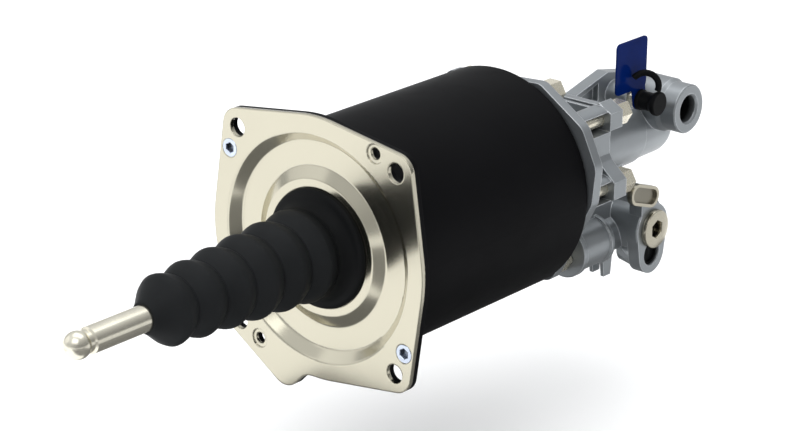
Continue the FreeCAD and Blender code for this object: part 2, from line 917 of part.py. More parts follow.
def spring(label, mean_radius, wire, turns, start, end, placement):
    """A coil of round wire whose ends just touch the planes start and end."""
    helix = doc.addObject("Part::Helix", label + "_line")
    reach = end - start - wire - 0.1
    helix.Radius = mean_radius.number
    helix.Height = reach.number
    helix.Pitch = (reach / turns).number
    helix.setExpression("Radius", mean_radius.formula)
    helix.setExpression("Height", reach.formula)
    helix.setExpression("Pitch", (reach / turns).formula)
    section = doc.addObject("Part::Circle", label + "_wire")
    section.Radius = (wire / 2.0).number
    section.setExpression("Radius", (wire / 2.0).formula)
    section.Placement = Placement(Vector(mean_radius.number, 0, 0), Rotation(Vector(1, 0, 0), 90))
    section.setExpression("Placement.Base.x", mean_radius.formula)
    coil = doc.addObject("Part::Sweep", label)
    coil.Sections = [section]
    coil.Spine = (helix, ["Edge1"])
    coil.Solid = True
    coil.Frenet = True
    coil.Label = label
    coil.Placement = placement
    doc.recompute()
    return coil


def return_spring():
    wire = size("spring_wire")
    start = size("piston_front") + size("piston_web")
    end = size("drum_end") - size("drum_wall")
    first = start + wire / 2.0 + 0.05
    place = Placement(Vector(0, first.number, 0), Rotation(Vector(1, 0, 0), -90))
    radius, turns = size("spring_mean_radius"), size("spring_turns")
    coil = spring("return_spring", radius, wire, turns, start, end, place)
    coil.setExpression("Placement.Base.y", first.formula)


relay_y, relay_z = size("relay_y"), size("relay_z")


def relay_coil(label, mean_radius, wire, turns, start, end):
    base = (start + wire / 2.0 + 0.05)
    place = Placement(Vector(base.number, relay_y.number, relay_z.number), Rotation(Vector(0, 1, 0), 90))
    coil = spring(label, mean_radius, wire, turns, start, end, place)
    coil.setExpression("Placement.Base.x", base.formula)
    coil.setExpression("Placement.Base.y", relay_y.formula)
    coil.setExpression("Placement.Base.z", relay_z.formula)


relay_piston_end = size("relay_piston_x") + size("relay_piston_length")
valve_start = size("valve_seat_x") + size("valve_seat_width") + 0.1
valve_end = valve_start + size("valve_disc_width")
plug_end = size("relay_face_x") - size("plug_length")


def relay_piston():
    body = new_body("relay_piston")
    radius = size("relay_bore") / 2.0 - size("running_gap")
    start, end = size("relay_piston_x"), relay_piston_end
    stem, stem_end = size("relay_stem") / 2.0, size("relay_stem_end_x")
    middle = (start + end) / 2.0
    groove = radius - 1.9
    profile = [
        (start, ZERO),
        (start, radius),
        (middle - 1.4, radius),
        (middle - 1.4, groove),
        (middle + 1.4, groove),
        (middle + 1.4, radius),
        (end, radius),
        (end, stem),
        (stem_end, stem),
        (stem_end, stem - 1.6),
        (end + 4.0, stem - 1.6),
        (end + 4.0, ZERO),
    ]
    crossways(body, "relay_piston_turn", profile, relay_y, relay_z)


def relay_ring():
    body = new_body("relay_piston_ring")
    bore = size("relay_bore") / 2.0
    middle = (size("relay_piston_x") + relay_piston_end) / 2.0
    root = bore - size("running_gap") - 1.9 + 0.05
    profile = [
        (middle - 1.3, root),
        (middle - 1.3, bore - 0.3),
        (middle - 0.6, bore - 0.02),
        (middle + 0.6, bore - 0.02),
        (middle + 1.3, bore - 0.3),
        (middle + 1.3, root),
    ]
    crossways(body, "relay_ring_turn", profile, relay_y, relay_z)


def valve_seat():
    body = new_body("valve_seat")
    outer, inner = size("relay_bore") / 2.0, size("valve_seat_bore") / 2.0
    start = size("valve_seat_x")
    end = start + size("valve_seat_width")
    profile = [
        (start, inner),
        (start, outer),
        (end - 0.8, outer),
        (end - 0.8, inner + 1.6),
        (end, inner + 0.9),
        (end, inner),
    ]
    crossways(body, "valve_seat_turn", profile, relay_y, relay_z)


def inlet_valve():
    body = new_body("inlet_valve")
    disc = size("valve_disc") / 2.0
    profile = [
        (valve_start, ZERO),
        (valve_start, disc),
        (valve_end - 1.2, disc),
        (valve_end - 1.2, disc - 2.0),
        (valve_end, disc - 3.2),
        (valve_end + 3.0, disc - 3.2),
        (valve_end + 3.0, ZERO),
    ]
    crossways(body, "inlet_valve_turn", profile, relay_y, relay_z)


def relay_plug():
    body = new_body("relay_plug")
    face = size("relay_face_x")
    thread, head = size("plug_thread") / 2.0 - size("running_gap"), size("plug_head") / 2.0
    top = face + size("plug_head_height")
    profile = [
        (plug_end, ZERO),
        (plug_end, thread - 0.8),
        (plug_end + 0.8, thread),
        (face + 0.2, thread),
        (face + 0.2, head),
        (top - 0.7, head),
        (top, head - 0.7),
        (top, ZERO),
    ]
    crossways(body, "relay_plug_turn", profile, relay_y, relay_z)
    depth = size("plug_head_height") + 3.0
    draw = drawing(hexagon, relay_y, relay_z, size("plug_drive"), 30.0)
    along_x(body, "Pocket", "relay_plug_socket", top - depth, top + 1.0, draw)


def relay_end_plug():
    body = new_body("relay_end_plug")
    back, start = size("relay_back_x"), size("end_plug_start_x")
    radius = size("relay_bore") / 2.0 + 1.0 - size("running_gap")
    profile = [
        (back + 0.6, ZERO),
        (back + 0.6, radius - 0.8),
        (back + 1.4, radius),
        (start - 2.2, radius),
        (start - 2.2, radius - 1.0),
        (start - 0.1, radius - 1.6),
        (start - 0.1, ZERO),
    ]
    crossways(body, "end_plug_turn", profile, relay_y, relay_z)
    draw = drawing(hexagon, relay_y, relay_z, size("end_plug_drive"), 30.0)
    along_x(body, "Pocket", "end_plug_socket", back - 1.0, back + 6.0, draw)


def relay_plug_seal():
    body = new_body("relay_plug_seal")
    face, seat = size("relay_face_x"), size("plug_seat")
    inner, outer = size("plug_thread") / 2.0 + 0.05, size("plug_thread") / 2.0 + seat
    floor, rim = face - seat + 0.1, face + 0.2
    profile = [(floor, inner), (floor, outer), (rim, outer), (rim, inner)]
    crossways(body, "relay_seal_turn", profile, relay_y, relay_z)


exhaust_z = relay_z - size("exhaust_drop")


def exhaust_flap():
    body = new_body("exhaust_flap")
    face, radius = size("relay_face_x"), size("exhaust_radius") - 0.05
    profile = [
        (face - 4.6, ZERO),
        (face - 4.6, radius),
        (face - 1.8, radius),
        (face - 1.8, radius - 1.3),
        (face - 3.0, radius - 1.3),
        (face - 3.0, radius - 3.0),
        (face - 2.3, ZERO),
    ]
    crossways(body, "exhaust_flap_turn", profile, relay_y, exhaust_z)


def duct_plug():
    body = new_body("duct_plug")
    start = size("duct_start")
    radius = size("duct_plug") / 2.0
    across, up = size("duct_across"), size("duct_down")
    cup = drawing(circle, across, up, radius)
    along_y(body, "Pad", "duct_plug_cup", start + 0.6, start + size("duct_plug_depth"), cup)
    hollow = drawing(circle, across, up, radius - 1.2)
    along_y(body, "Pocket", "duct_plug_hollow", start - 1.0, start + 2.6, hollow)


def tie_bolt_heads(body, name, angles, base):
    def heads(sketch):
        for angle in angles:
            hexagon(sketch, *polar(size("bolt_circle"), angle), size("bolt_head_width"), 0.0)

    along_y(body, "Pad", name, base, base + size("bolt_head_height"), heads)


def tie_bolt_shanks(body, name, angles, end):
    def shanks(sketch):
        for angle in angles:
            circle(sketch, *polar(size("bolt_circle"), angle), size("bolt") / 2.0)

    along_y(body, "Pad", name, size("pot_end") - size("bolt_grip") + 1.0, end, shanks)


def tie_bolt_flanges(body, name, angles, base):
    def washers(sketch):
        for angle in angles:
            circle(sketch, *polar(size("bolt_circle"), angle), size("bolt_head_width") / 2.0 + 0.7)

    along_y(body, "Pad", name, base, base + 1.4, washers)


flange_back = size("pot_end") + size("gasket") + size("housing_flange_thickness")


def tie_bolts():
    body = new_body("tie_bolts_short")
    tie_bolt_shanks(body, "short_shanks", low_bolts, flange_back + 1.0)
    tie_bolt_heads(body, "short_heads", low_bolts, flange_back)
    tie_bolt_flanges(body, "short_collars", low_bolts, flange_back)
    body = new_body("tie_bolts_long")
    for name, angle, end in (
        ("upper", size("upper_ear_angle"), size("upper_ear_end")),
        ("side", size("side_ear_angle"), size("side_ear_end")),
    ):
        tie_bolt_shanks(body, name + "_shank", [angle], end + 1.0)
        tie_bolt_heads(body, name + "_head", [angle], end)
        tie_bolt_flanges(body, name + "_collar", [angle], end)


def turned(angle, along, side):
    """A point of the housing's face at a distance along a direction and to its left."""
    cos_, sin_ = cosine(angle), sine(angle)
    return along * cos_ - side * sin_, along * sin_ + side * cos_


def slab(angle, inner, outer, inner_half, outer_half):
    """A plate profile that narrows from inner to outer along a direction from the axis."""
    corners = ((inner, -inner_half), (outer, -outer_half), (outer, outer_half), (inner, inner_half))
    return drawing(polygon, [turned(angle, along, side) for along, side in corners])


def cover_outline(margin):
    """The oblong cover's outline, inset by a margin."""
    y, z = size("cover_y"), size("cover_z")
    along, up = polar(size("cover_reach"), size("cover_tilt"))
    radius = size("cover_round") - margin
    return drawing(belt, [(y - along, z - up, radius), (y, z, radius)])


def rear_housing():
    body = new_body("rear_housing")
    front = size("pot_end") + size("gasket")
    drum = size("drum_radius")
    spigot = size("pot_window_radius") - size("running_gap")
    spigot_front = front - size("spigot_reach")
    barrel, end = size("barrel_radius"), size("barrel_end")
    round_ = size("barrel_end_round")
    drum_end = size("drum_end")
    step_y, step = size("barrel_step_y"), size("barrel_step")
    outside = [
        (0, spigot_front),
        (spigot, spigot_front),
        (spigot, flange_back),
        (drum + 6.0, flange_back),
        (drum, flange_back + 6.0),
        (drum, drum_end - 2.0),
        (drum - 2.0, drum_end),
        (barrel + 3.0, drum_end),
        (barrel, drum_end + 3.0),
        (barrel, step_y),
        (barrel - step, step_y + step),
        (barrel - step, end),
        (0, end),
    ]
    lathe(body, "housing_turn", outside)
    round_edges(body, "barrel_end_edge", axial_rings(body, [(barrel - step, end)]), round_)

    along_y(body, "Pad", "mounting_flange", front, flange_back, housing_outline(ZERO))
    circle_radius, boss = size("bolt_circle"), size("boss_round")
    thick = size("ear_thickness")
    lower, upper = size("side_ear_angle"), size("upper_ear_angle")
    inner = drum - 6.0
    side_end = size("side_ear_end")
    ears = (("upper", upper, size("upper_ear_end")), ("side", lower, side_end))
    for name, angle, ear_end in ears:
        ear_x, ear_z = polar(circle_radius, angle)
        along_y(body, "Pad", name + "_column", front, ear_end, drawing(circle, ear_x, ear_z, boss))
        block = drawing(hexagon, ear_x, ear_z, boss * 2.0, 30.0)
        along_y(body, "Pad", name + "_block", ear_end - thick, ear_end, block)
        web = slab(angle, inner, circle_radius, boss, boss - 2.0)
        along_y(body, "Pad", name + "_web", front, ear_end, web)
    wall_x = size("ear_wall_x")
    high_x, high_z = polar(circle_radius, upper)
    wall = [
        (inner - 4.0, ZERO),
        (wall_x, ZERO),
        (wall_x, high_z - 4.0),
        (high_x, high_z),
        (inner - 8.0, inner - 12.0),
    ]
    along_y(body, "Pad", "ear_wall", front, side_end, drawing(polygon, wall))
    side_x = circle_radius + boss
    arm = [
        (wall_x - 4.0, ZERO),
        (side_x, ZERO),
        (side_x, boss * 0.577),
        (side_x - 3.1, boss * 0.92),
        (side_x - 7.9, boss * 1.4),
        (side_x - 10.3, boss * 1.67),
        (wall_x, boss * 2.06),
        (wall_x - 4.0, boss * 2.06),
    ]
    along_y(body, "Pad", "side_arm", side_end - thick, side_end, drawing(polygon, arm))
    top_z = size("back_plate_top_z")
    ear_x, ear_z = polar(circle_radius, upper)
    plate_end = ear_x - boss
    plate = [
        (-12, inner - 8.0),
        (-12, top_z),
        (plate_end, top_z),
        (plate_end, ear_z - 12.0),
        polar(inner, lower),
    ]
    plate_front = drum_end - size("back_plate_thickness")
    along_y(body, "Pad", "back_plate", plate_front, drum_end, drawing(polygon, plate))
    rib_back = plate_front - size("front_rib_gap")
    rib_z = top_z - 0.6
    rib = [(14, inner - 8.0), (14, rib_z), (plate_end, rib_z), (plate_end, ear_z - 12.0)]
    rib_front = rib_back - size("front_rib_thickness")
    along_y(body, "Pad", "front_rib", rib_front, rib_back, drawing(polygon, rib))

    knee_y, knee_z = size("block_knee_y"), size("block_knee_z")
    back_y, back_z = size("block_back_y"), size("block_back_z")
    right = size("block_right_x")
    bridge = [
        (drum_end - 8.0, Size(18.0)),
        (drum_end - 8.0, size("block_front_z")),
        (knee_y, knee_z),
        (back_y, back_z),
        (back_y + 9.0, back_z - 7.0),
        (back_y + 11.0, Size(10.0)),
    ]
    along_x(body, "Pad", "bridge", size("block_left_x"), right, drawing(polygon, bridge))
    port_y, port_z = size("port_y"), size("port_z")
    port = size("port_radius")
    root, root_x = size("port_root_radius"), size("port_root_x")
    face = size("port_face_x")
    tube = [
        (ZERO, ZERO),
        (ZERO, root),
        (root_x, root),
        (root_x + 2.4, port),
        (face - 0.8, port),
        (face, port - 0.8),
        (face, ZERO),
    ]
    crossways(body, "port_tube", tube, port_y, port_z)
    bleed_y, bleed_z, bleed_x = size("bleed_y"), size("bleed_z"), size("bleed_boss_x")
    bleed_radius = size("bleed_boss_radius")
    nub = [(ZERO, ZERO), (ZERO, bleed_radius + 1.5), (bleed_x, bleed_radius), (bleed_x, ZERO)]
    crossways(body, "bleed_boss", nub, bleed_y, bleed_z)

    relay_face, relay_back = size("relay_face_x"), size("relay_back_x")
    relay_root, relay_mouth = size("relay_root_radius"), size("relay_mouth_radius")
    relay_root_x = size("relay_root_x")
    relay = [
        (relay_back, ZERO),
        (relay_back, relay_root - 2.0),
        (relay_back + 2.0, relay_root),
        (relay_root_x, relay_root),
        (relay_root_x + 3.0, relay_mouth + 1.0),
        (relay_face - 1.0, relay_mouth + 1.0),
        (relay_face, relay_mouth),
        (relay_face, ZERO),
    ]
    crossways(body, "relay_barrel", relay, relay_y, relay_z)

    def exhaust_block(sketch):
        top = (relay_y, relay_z, relay_mouth + 0.6)
        belt(sketch, [top, (relay_y, exhaust_z, size("exhaust_boss_radius"))])

    along_x(body, "Pad", "exhaust_block", relay_face - 8.0, relay_face, exhaust_block)
    boss_start = relay_face - size("exhaust_boss_length")
    tail = [
        (boss_start, ZERO),
        (boss_start, size("exhaust_boss_radius") - 3.4),
        (relay_face, size("exhaust_boss_radius")),
        (relay_face, ZERO),
    ]
    crossways(body, "exhaust_boss", tail, relay_y, exhaust_z)
    relief = [
        (boss_start - 4.0, exhaust_z + 4.4),
        (boss_start + 3.0, exhaust_z + 2.4),
        (boss_start + 8.6, exhaust_z - 1.0),
        (boss_start + 9.8, exhaust_z - 5.6),
        (boss_start - 4.0, exhaust_z - 2.8),
    ]
    along_y(body, "Pocket", "exhaust_relief", relay_y - 22.0, relay_y - 8.6, drawing(polygon, relief))
    fins = ((28.9, 222.0, -72.6), (23.1, 219.0, -70.4))
    for place, (fin_x, fin_y, fin_z) in enumerate(fins):
        blade = [(fin_y - 5.0, fin_z), (fin_y + 1.5, fin_z), (fin_y + 5.0, relay_z), (fin_y - 9.0, relay_z)]
        along_x(body, "Pad", f"fin_{place}", Size(fin_x - 1.2), Size(fin_x + 1.2), drawing(polygon, blade))
    cover_x = size("cover_x")
    along_x(body, "Pad", "cover_boss", cover_x - 9.0, cover_x - 0.1, cover_outline(Size(1.0)))
    foot_y, foot_z = size("cover_y"), size("cover_z")
    foot = [
        (foot_y - 5.0, relay_z),
        (foot_y + 5.0, relay_z),
        (foot_y + 5.0, foot_z),
        (foot_y - 5.0, foot_z),
    ]
    along_x(body, "Pad", "cover_foot", cover_x - 9.0, cover_x - 0.1, drawing(polygon, foot))

    def relay_web(sketch):
        front, back = drum_end - 3.0, relay_y + 24.0
        polygon(sketch, [(front, relay_z), (front, -12), (back, -12), (back - 12.0, relay_z)])

    along_x(body, "Pad", "relay_web", Size(-15.0), Size(18.0), relay_web)
    duct_x, duct_z = size("duct_across"), size("duct_down")
    duct = drawing(circle, duct_x, duct_z, size("duct_radius"))
    duct_end = size("duct_end")
    along_y(body, "Pad", "duct_boss", size("duct_start"), duct_end, duct)
    neck = drawing(circle, duct_x, duct_z, size("duct_radius") - 3.0)
    along_y(body, "Pad", "duct_neck", duct_end, relay_y - 6.0, neck)
    lip = drawing(circle, duct_x, duct_z, size("duct_radius") + 1.0)
    along_y(body, "Pad", "duct_lip", duct_end - 2.6, duct_end, lip)
    collar = drawing(circle, duct_x, duct_z, size("duct_radius") + 1.2)
    along_y(body, "Pad", "duct_collar", size("duct_start") - 3.0, size("duct_start") + 0.6, collar)
    side = [(4, -14), (duct_x - 6.0, duct_z - 4.0), (duct_x + 5.0, duct_z + 6.0), (26, -6)]
    along_y(body, "Pad", "duct_web", size("duct_start") + 2.0, relay_y - 8.0, drawing(polygon, side))
    air_x, air_y = size("air_port_x"), size("air_port_y")
    air = drawing(circle, air_x, relay_z, size("air_port_bore") / 2.0 + 3.3)
    along_y(body, "Pad", "air_boss", relay_y, air_y, air)

    tube_radius, depth = size("gland_tube_radius"), size("gland_depth")
    hollow = drum - size("drum_wall")
    room_end = drum_end - size("drum_wall")
    gland_front = size("gland_front")
    room_start = spigot_front - 5.0
    room = [
        (tube_radius, room_start),
        (tube_radius, room_end),
        (hollow, room_end),
        (hollow, room_start),
    ]
    lathe(body, "spring_room", room, "Groove")
    gland_y = gland_front + depth
    mouth = size("gland_radius")
    chamber, chamber_end = size("chamber_radius"), size("chamber_end")
    clip_start = gland_front + 0.9
    clip = mouth + size("clip_depth")
    bore = [
        (0, gland_front - 5.0),
        (mouth, gland_front - 5.0),
        (mouth, clip_start),
        (clip, clip_start),
        (clip, clip_start + size("clip_width") + 0.1),
        (mouth, clip_start + size("clip_width") + 0.1),
        (mouth, gland_y),
        (chamber, gland_y),
        (chamber, chamber_end - 4.0),
        (0, chamber_end),
    ]
    lathe(body, "chamber", bore, "Groove")

    half, reach = size("window_width") / 2.0, size("window_reach")
    for name, angle, ear_end in ears:
        ear_x, ear_z = polar(circle_radius, angle)
        window = [
            (ear_x - reach, ear_z - half),
            (ear_x + boss + 8.0, ear_z - half),
            (ear_x + boss + 8.0, ear_z + half),
            (ear_x - reach, ear_z + half),
        ]
        along_y(body, "Pocket", name + "_window", flange_back, ear_end - thick, drawing(polygon, window))
    along_y(body, "Pocket", "bolt_drillings", front - 1.0, drum_end + 4.0, bolt_holes)

    bore_radius = size("port_bore") / 2.0
    port_floor = face - size("port_depth")
    opening = [
        (port_floor, ZERO),
        (port_floor, bore_radius),
        (face - size("port_chamfer"), bore_radius),
        (face + 0.1, bore_radius + size("port_chamfer") + 0.1),
        (face + 0.1, ZERO),
    ]
    crossways(body, "port_bore", opening, port_y, port_z, "Groove")
    feed = size("feed") / 2.0
    feed_hole = drawing(circle, port_y - 4.0, port_z - 2.5, feed)
    along_x(body, "Pocket", "port_feed", ZERO, port_floor + 1.0, feed_hole)
    bleed_thread = size("bleed_thread") / 2.0
    bleed_floor = bleed_x - 14.0
    bleed_hole = drawing(circle, bleed_y, bleed_z, bleed_thread)
    along_x(body, "Pocket", "bleed_thread", bleed_floor, bleed_x + 1.0, bleed_hole)
    cross = drawing(circle, bleed_y, bleed_z, Size(1.5))
    along_x(body, "Pocket", "bleed_cross", ZERO, bleed_floor + 1.0, cross)
    riser = drawing(circle, Size(4.0), bleed_y, Size(1.5))
    along_z(body, "Pocket", "bleed_feed", Size(10.0), bleed_z + 0.5, riser)

    relay_bore = size("relay_bore") / 2.0
    thread = size("plug_thread") / 2.0
    seat = size("plug_seat")
    seat_radius = thread + seat + 0.1
    valve_room = [
        (relay_back - 1.0, ZERO),
        (relay_back - 1.0, relay_bore + 1.0),
        (size("end_plug_start_x"), relay_bore + 1.0),
        (size("end_plug_start_x"), relay_bore),
        (plug_end, relay_bore),
        (plug_end, thread),
        (relay_face - seat, thread),
        (relay_face - seat, seat_radius),
        (relay_face + 1.0, seat_radius),
        (relay_face + 1.0, ZERO),
    ]
    crossways(body, "relay_bore", valve_room, relay_y, relay_z, "Groove")
    exhaust = size("exhaust_radius")
    exhaust_floor = relay_face - size("exhaust_depth")
    vent = [
        (exhaust_floor, ZERO),
        (exhaust_floor, exhaust),
        (relay_face - 0.5, exhaust),
        (relay_face + 0.1, exhaust + 0.6),
        (relay_face + 0.1, ZERO),
    ]
    crossways(body, "exhaust_opening", vent, relay_y, exhaust_z, "Groove")
    pilot_x = size("relay_piston_x") - 2.2
    vent_x = (relay_piston_end + size("valve_seat_x")) / 2.0
    vent_z = exhaust_z + 3.2
    vent = drawing(circle, relay_y, vent_z, Size(2.0))
    along_x(body, "Pocket", "exhaust_drilling", vent_x - 2.0, exhaust_floor + 1.0, vent)
    vent = drawing(circle, vent_x, relay_y, Size(2.0))
    along_z(body, "Pocket", "exhaust_riser", vent_z, relay_z, vent)
    pilot = drawing(circle, pilot_x, relay_y, Size(1.5))
    along_z(body, "Pocket", "pilot_drilling", relay_z, Size(-10.0), pilot)
    gallery = drawing(circle, Size(8.0), Size(-28.5), Size(3.2))
    along_y(body, "Pocket", "air_gallery", room_end - 1.0, relay_y, gallery)
    plug = drawing(circle, duct_x, duct_z, size("duct_plug") / 2.0)
    plug_start = size("duct_start")
    plug_floor = plug_start + size("duct_plug_depth") + 0.2
    along_y(body, "Pocket", "duct_mouth", plug_start - 1.0, plug_floor, plug)
    air_hole = drawing(circle, air_x, relay_z, size("air_port_bore") / 2.0)
    air_floor = air_y - size("air_port_depth")
    along_y(body, "Pocket", "air_port", air_floor, air_y + 1.0, air_hole)
    air_feed = drawing(circle, air_x, relay_z, Size(4.0))
    along_y(body, "Pocket", "air_feed", relay_y, air_floor + 1.0, air_feed)
    recess = [
        (knee_y - 29.0, knee_z - 10.5),
        (knee_y - 9.3, knee_z - 4.6),
        (knee_y - 9.3, knee_z - 15.5),
        (knee_y - 25.0, knee_z - 15.5),
    ]
    floor = right - size("block_recess")
    along_x(body, "Pocket", "bridge_pocket", floor, right + 0.5, drawing(polygon, recess))


def relay_cover():
    body = new_body("relay_cover")
    x, thick = size("cover_x"), size("cover_thickness")
    along_x(body, "Pad", "cover_plate", x, x + thick, cover_outline(ZERO))
    along_x(body, "Pocket", "cover_dish", x + thick - 1.8, x + thick + 1.0, cover_outline(Size(1.9)))


def bleed_screw():
    body = new_body("bleed_screw")
    y, z, base = size("bleed_y"), size("bleed_z"), size("bleed_boss_x")
    thread, neck = size("bleed_thread") / 2.0, size("bleed_neck") / 2.0
    top = base + size("bleed_hex_height")
    tip = size("bleed_tip_x")
    shank = [
        (base - 13.5, ZERO),
        (base - 11.0, thread - 0.05),
        (base, thread - 0.05),
        (base, neck),
        (tip - 4.0, neck),
        (tip - 3.4, neck + 0.7),
        (tip, neck - 0.4),
        (tip, ZERO),
    ]
    crossways(body, "bleed_shank", shank, y, z)
    along_x(body, "Pad", "bleed_hexagon", base, top, drawing(hexagon, y, z, size("bleed_hex"), 30.0))
    along_x(body, "Pocket", "bleed_hole", base - 6.0, tip + 1.0, drawing(circle, y, z, Size(1.2)))


def bleed_cap():
    body = new_body("bleed_cap")
    y, z = size("bleed_y"), size("bleed_z")
    start, end = size("cap_start_x"), size("cap_end_x")
    radius, rim = size("cap_radius"), size("cap_rim_radius")
    neck = size("bleed_neck") / 2.0 + 0.1
    tip = size("bleed_tip_x") + 0.4
    profile = [
        (start, neck),
        (start, radius + 0.6),
        (start + 1.6, radius + 0.6),
        (start + 2.4, radius),
        (end - 5.4, radius),
        (end - 2.6, rim),
        (end - 0.5, rim),
        (end, rim - 0.6),
        (end, ZERO),
        (tip, ZERO),
        (tip, neck + 0.8),
        (tip - 4.2, neck + 0.8),
        (tip - 5.0, neck),
    ]
    crossways(body, "cap_turn", profile, y, z)


tag_start = size("bleed_boss_x") + size("bleed_hex_height") + 0.1


def bleed_tag():
    body = new_body("bleed_tag")
    y, z = size("bleed_y"), size("bleed_z")
    width, height, low = size("tag_width"), size("tag_height"), size("tag_bottom_z")
    corner = Size(3.0)
    left, right = y + size("tag_lead") - width, y + size("tag_lead")
    end = tag_start + size("tag_thickness")

    def plate(sketch):
        belt(
            sketch,
            [
                (left + corner, low + corner, corner),
                (right - corner, low + corner, corner),
                (right - corner, low + height - corner, corner),
                (left + corner, low + height - corner, corner),
            ],
        )

    def tongue(sketch):
        belt(sketch, [(y, z, Size(6.2)), (y - 3.0, low + 8.0, Size(6.2))])

    along_x(body, "Pad", "tag_plate", tag_start, end, plate)
    along_x(body, "Pad", "tag_tongue", tag_start, end, tongue)
    hole = drawing(circle, y, z, size("bleed_neck") / 2.0 + 0.15)
    along_x(body, "Pocket", "tag_hole", tag_start - 1.0, end + 1.0, hole)


def cap_strap():
    y, z = size("bleed_y").number, size("bleed_z").number
    end = size("cap_end_x").number
    rim, wire = size("cap_rim_radius").number, size("strap_radius").number
    tag_face = tag_start.number + size("tag_thickness").number
    start = Vector(end - 2.1, y, z + rim + 0.7)
    top = Vector((end + tag_face) / 2 + 0.8, y - 4.0, z + rim + 11.4)
    finish = Vector(tag_face + 1.9, y - 9.3, z + rim + 8.5)
    path = Part.Wire(Part.Arc(start, top, finish).toShape())
    tangent = path.Edges[0].tangentAt(path.Edges[0].FirstParameter)
    section = Part.Wire(Part.makeCircle(wire, start, tangent))
    loop = doc.addObject("Part::Feature", "cap_strap")
    loop.Shape = path.makePipeShell([section], True, True)
    loop.Label = "cap_strap"


front_plate()
plate_screws()
cylinder_pot()
housing_gasket()
gaiter()
push_rod()
rod_clip()
air_piston()
piston_lip_seal()
piston_guide_ring()
hydraulic_plunger()
gland_ring()
gland_wiper()
gland_bush()
gland_seal()
return_spring()
rear_housing()
tie_bolts()
duct_plug()
relay_piston()
relay_ring()
relay_coil("relay_spring", Size(6.4), Size(1.2), Size(4.0), relay_piston_end, size("valve_seat_x"))
valve_seat()
inlet_valve()
relay_coil("valve_spring", Size(5.6), Size(1.0), Size(4.0), valve_end - 1.2, plug_end)
relay_plug()
relay_plug_seal()
relay_end_plug()
exhaust_flap()
relay_cover()
bleed_screw()
bleed_cap()
bleed_tag()
cap_strap()

doc.recompute()
kinds = ("PartDesign::Body", "Part::Sweep", "Part::Feature")
nodes = [item for item in doc.Objects if item.TypeId in kinds]
for item in doc.Objects:
    if "Invalid" in item.State or "Error" in item.State:
        raise RuntimeError(f"{item.Name} did not rebuild")
for node in nodes:
    if node.Shape.isNull() or not node.Shape.isValid():
        raise RuntimeError(f"{node.Label} has no valid shape")
os.makedirs("parts", exist_ok=True)
for node in nodes:
    node.Shape.exportStep(f"parts/{node.Label}.step")
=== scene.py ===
"""Looks of an air-assisted hydraulic clutch servo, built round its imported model.

The servo's axis is Y, its push rod points to -Y and +Z is up. Lengths are in metres.
"""
import json
import math

import bmesh
import bpy
from mathutils import Euler, Matrix, Vector


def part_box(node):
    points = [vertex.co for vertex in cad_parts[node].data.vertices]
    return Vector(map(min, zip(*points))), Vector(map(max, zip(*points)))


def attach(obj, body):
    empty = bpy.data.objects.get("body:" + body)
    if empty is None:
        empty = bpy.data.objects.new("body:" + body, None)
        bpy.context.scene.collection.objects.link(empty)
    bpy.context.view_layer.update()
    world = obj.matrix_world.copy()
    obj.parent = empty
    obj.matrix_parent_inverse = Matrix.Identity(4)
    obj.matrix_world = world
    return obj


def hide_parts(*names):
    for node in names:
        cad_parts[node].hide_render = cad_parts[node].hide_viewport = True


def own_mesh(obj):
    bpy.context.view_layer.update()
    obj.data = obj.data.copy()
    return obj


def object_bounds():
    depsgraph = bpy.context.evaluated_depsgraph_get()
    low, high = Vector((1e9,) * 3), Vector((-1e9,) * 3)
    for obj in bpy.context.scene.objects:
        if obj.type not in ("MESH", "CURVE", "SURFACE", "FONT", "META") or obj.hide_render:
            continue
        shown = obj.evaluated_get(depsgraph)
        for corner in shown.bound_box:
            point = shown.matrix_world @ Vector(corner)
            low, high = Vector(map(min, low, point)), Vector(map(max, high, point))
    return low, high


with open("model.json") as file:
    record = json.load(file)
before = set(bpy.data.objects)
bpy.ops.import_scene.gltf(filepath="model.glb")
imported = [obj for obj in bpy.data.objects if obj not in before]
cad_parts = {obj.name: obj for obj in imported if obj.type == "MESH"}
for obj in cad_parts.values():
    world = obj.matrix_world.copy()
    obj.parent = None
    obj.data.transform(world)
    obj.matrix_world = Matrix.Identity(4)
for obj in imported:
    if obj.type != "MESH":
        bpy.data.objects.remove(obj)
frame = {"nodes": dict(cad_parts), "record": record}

bl_info = {
    "name": "Clutch Servo",
    "version": (1, 0, 0),
    "blender": (4, 5, 0),
    "location": "View3D > Sidebar > Servo",
    "description": "Builds the gaiter, screws, plug, springs, finishes and studio of a clutch servo",
    "category": "Object",
}

MM = 0.001
CAD_BOX = [list(corner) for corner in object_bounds()]
GAITER_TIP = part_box("gaiter")[0][1]


def length(name, description, default):
    return bpy.props.FloatProperty(
        name=name, description=description, default=default, unit="LENGTH", precision=5
    )


def colour(name, description, default):
    return bpy.props.FloatVectorProperty(
        name=name, description=description, default=default, subtype="COLOR", min=0.0, max=1.0, size=3
    )


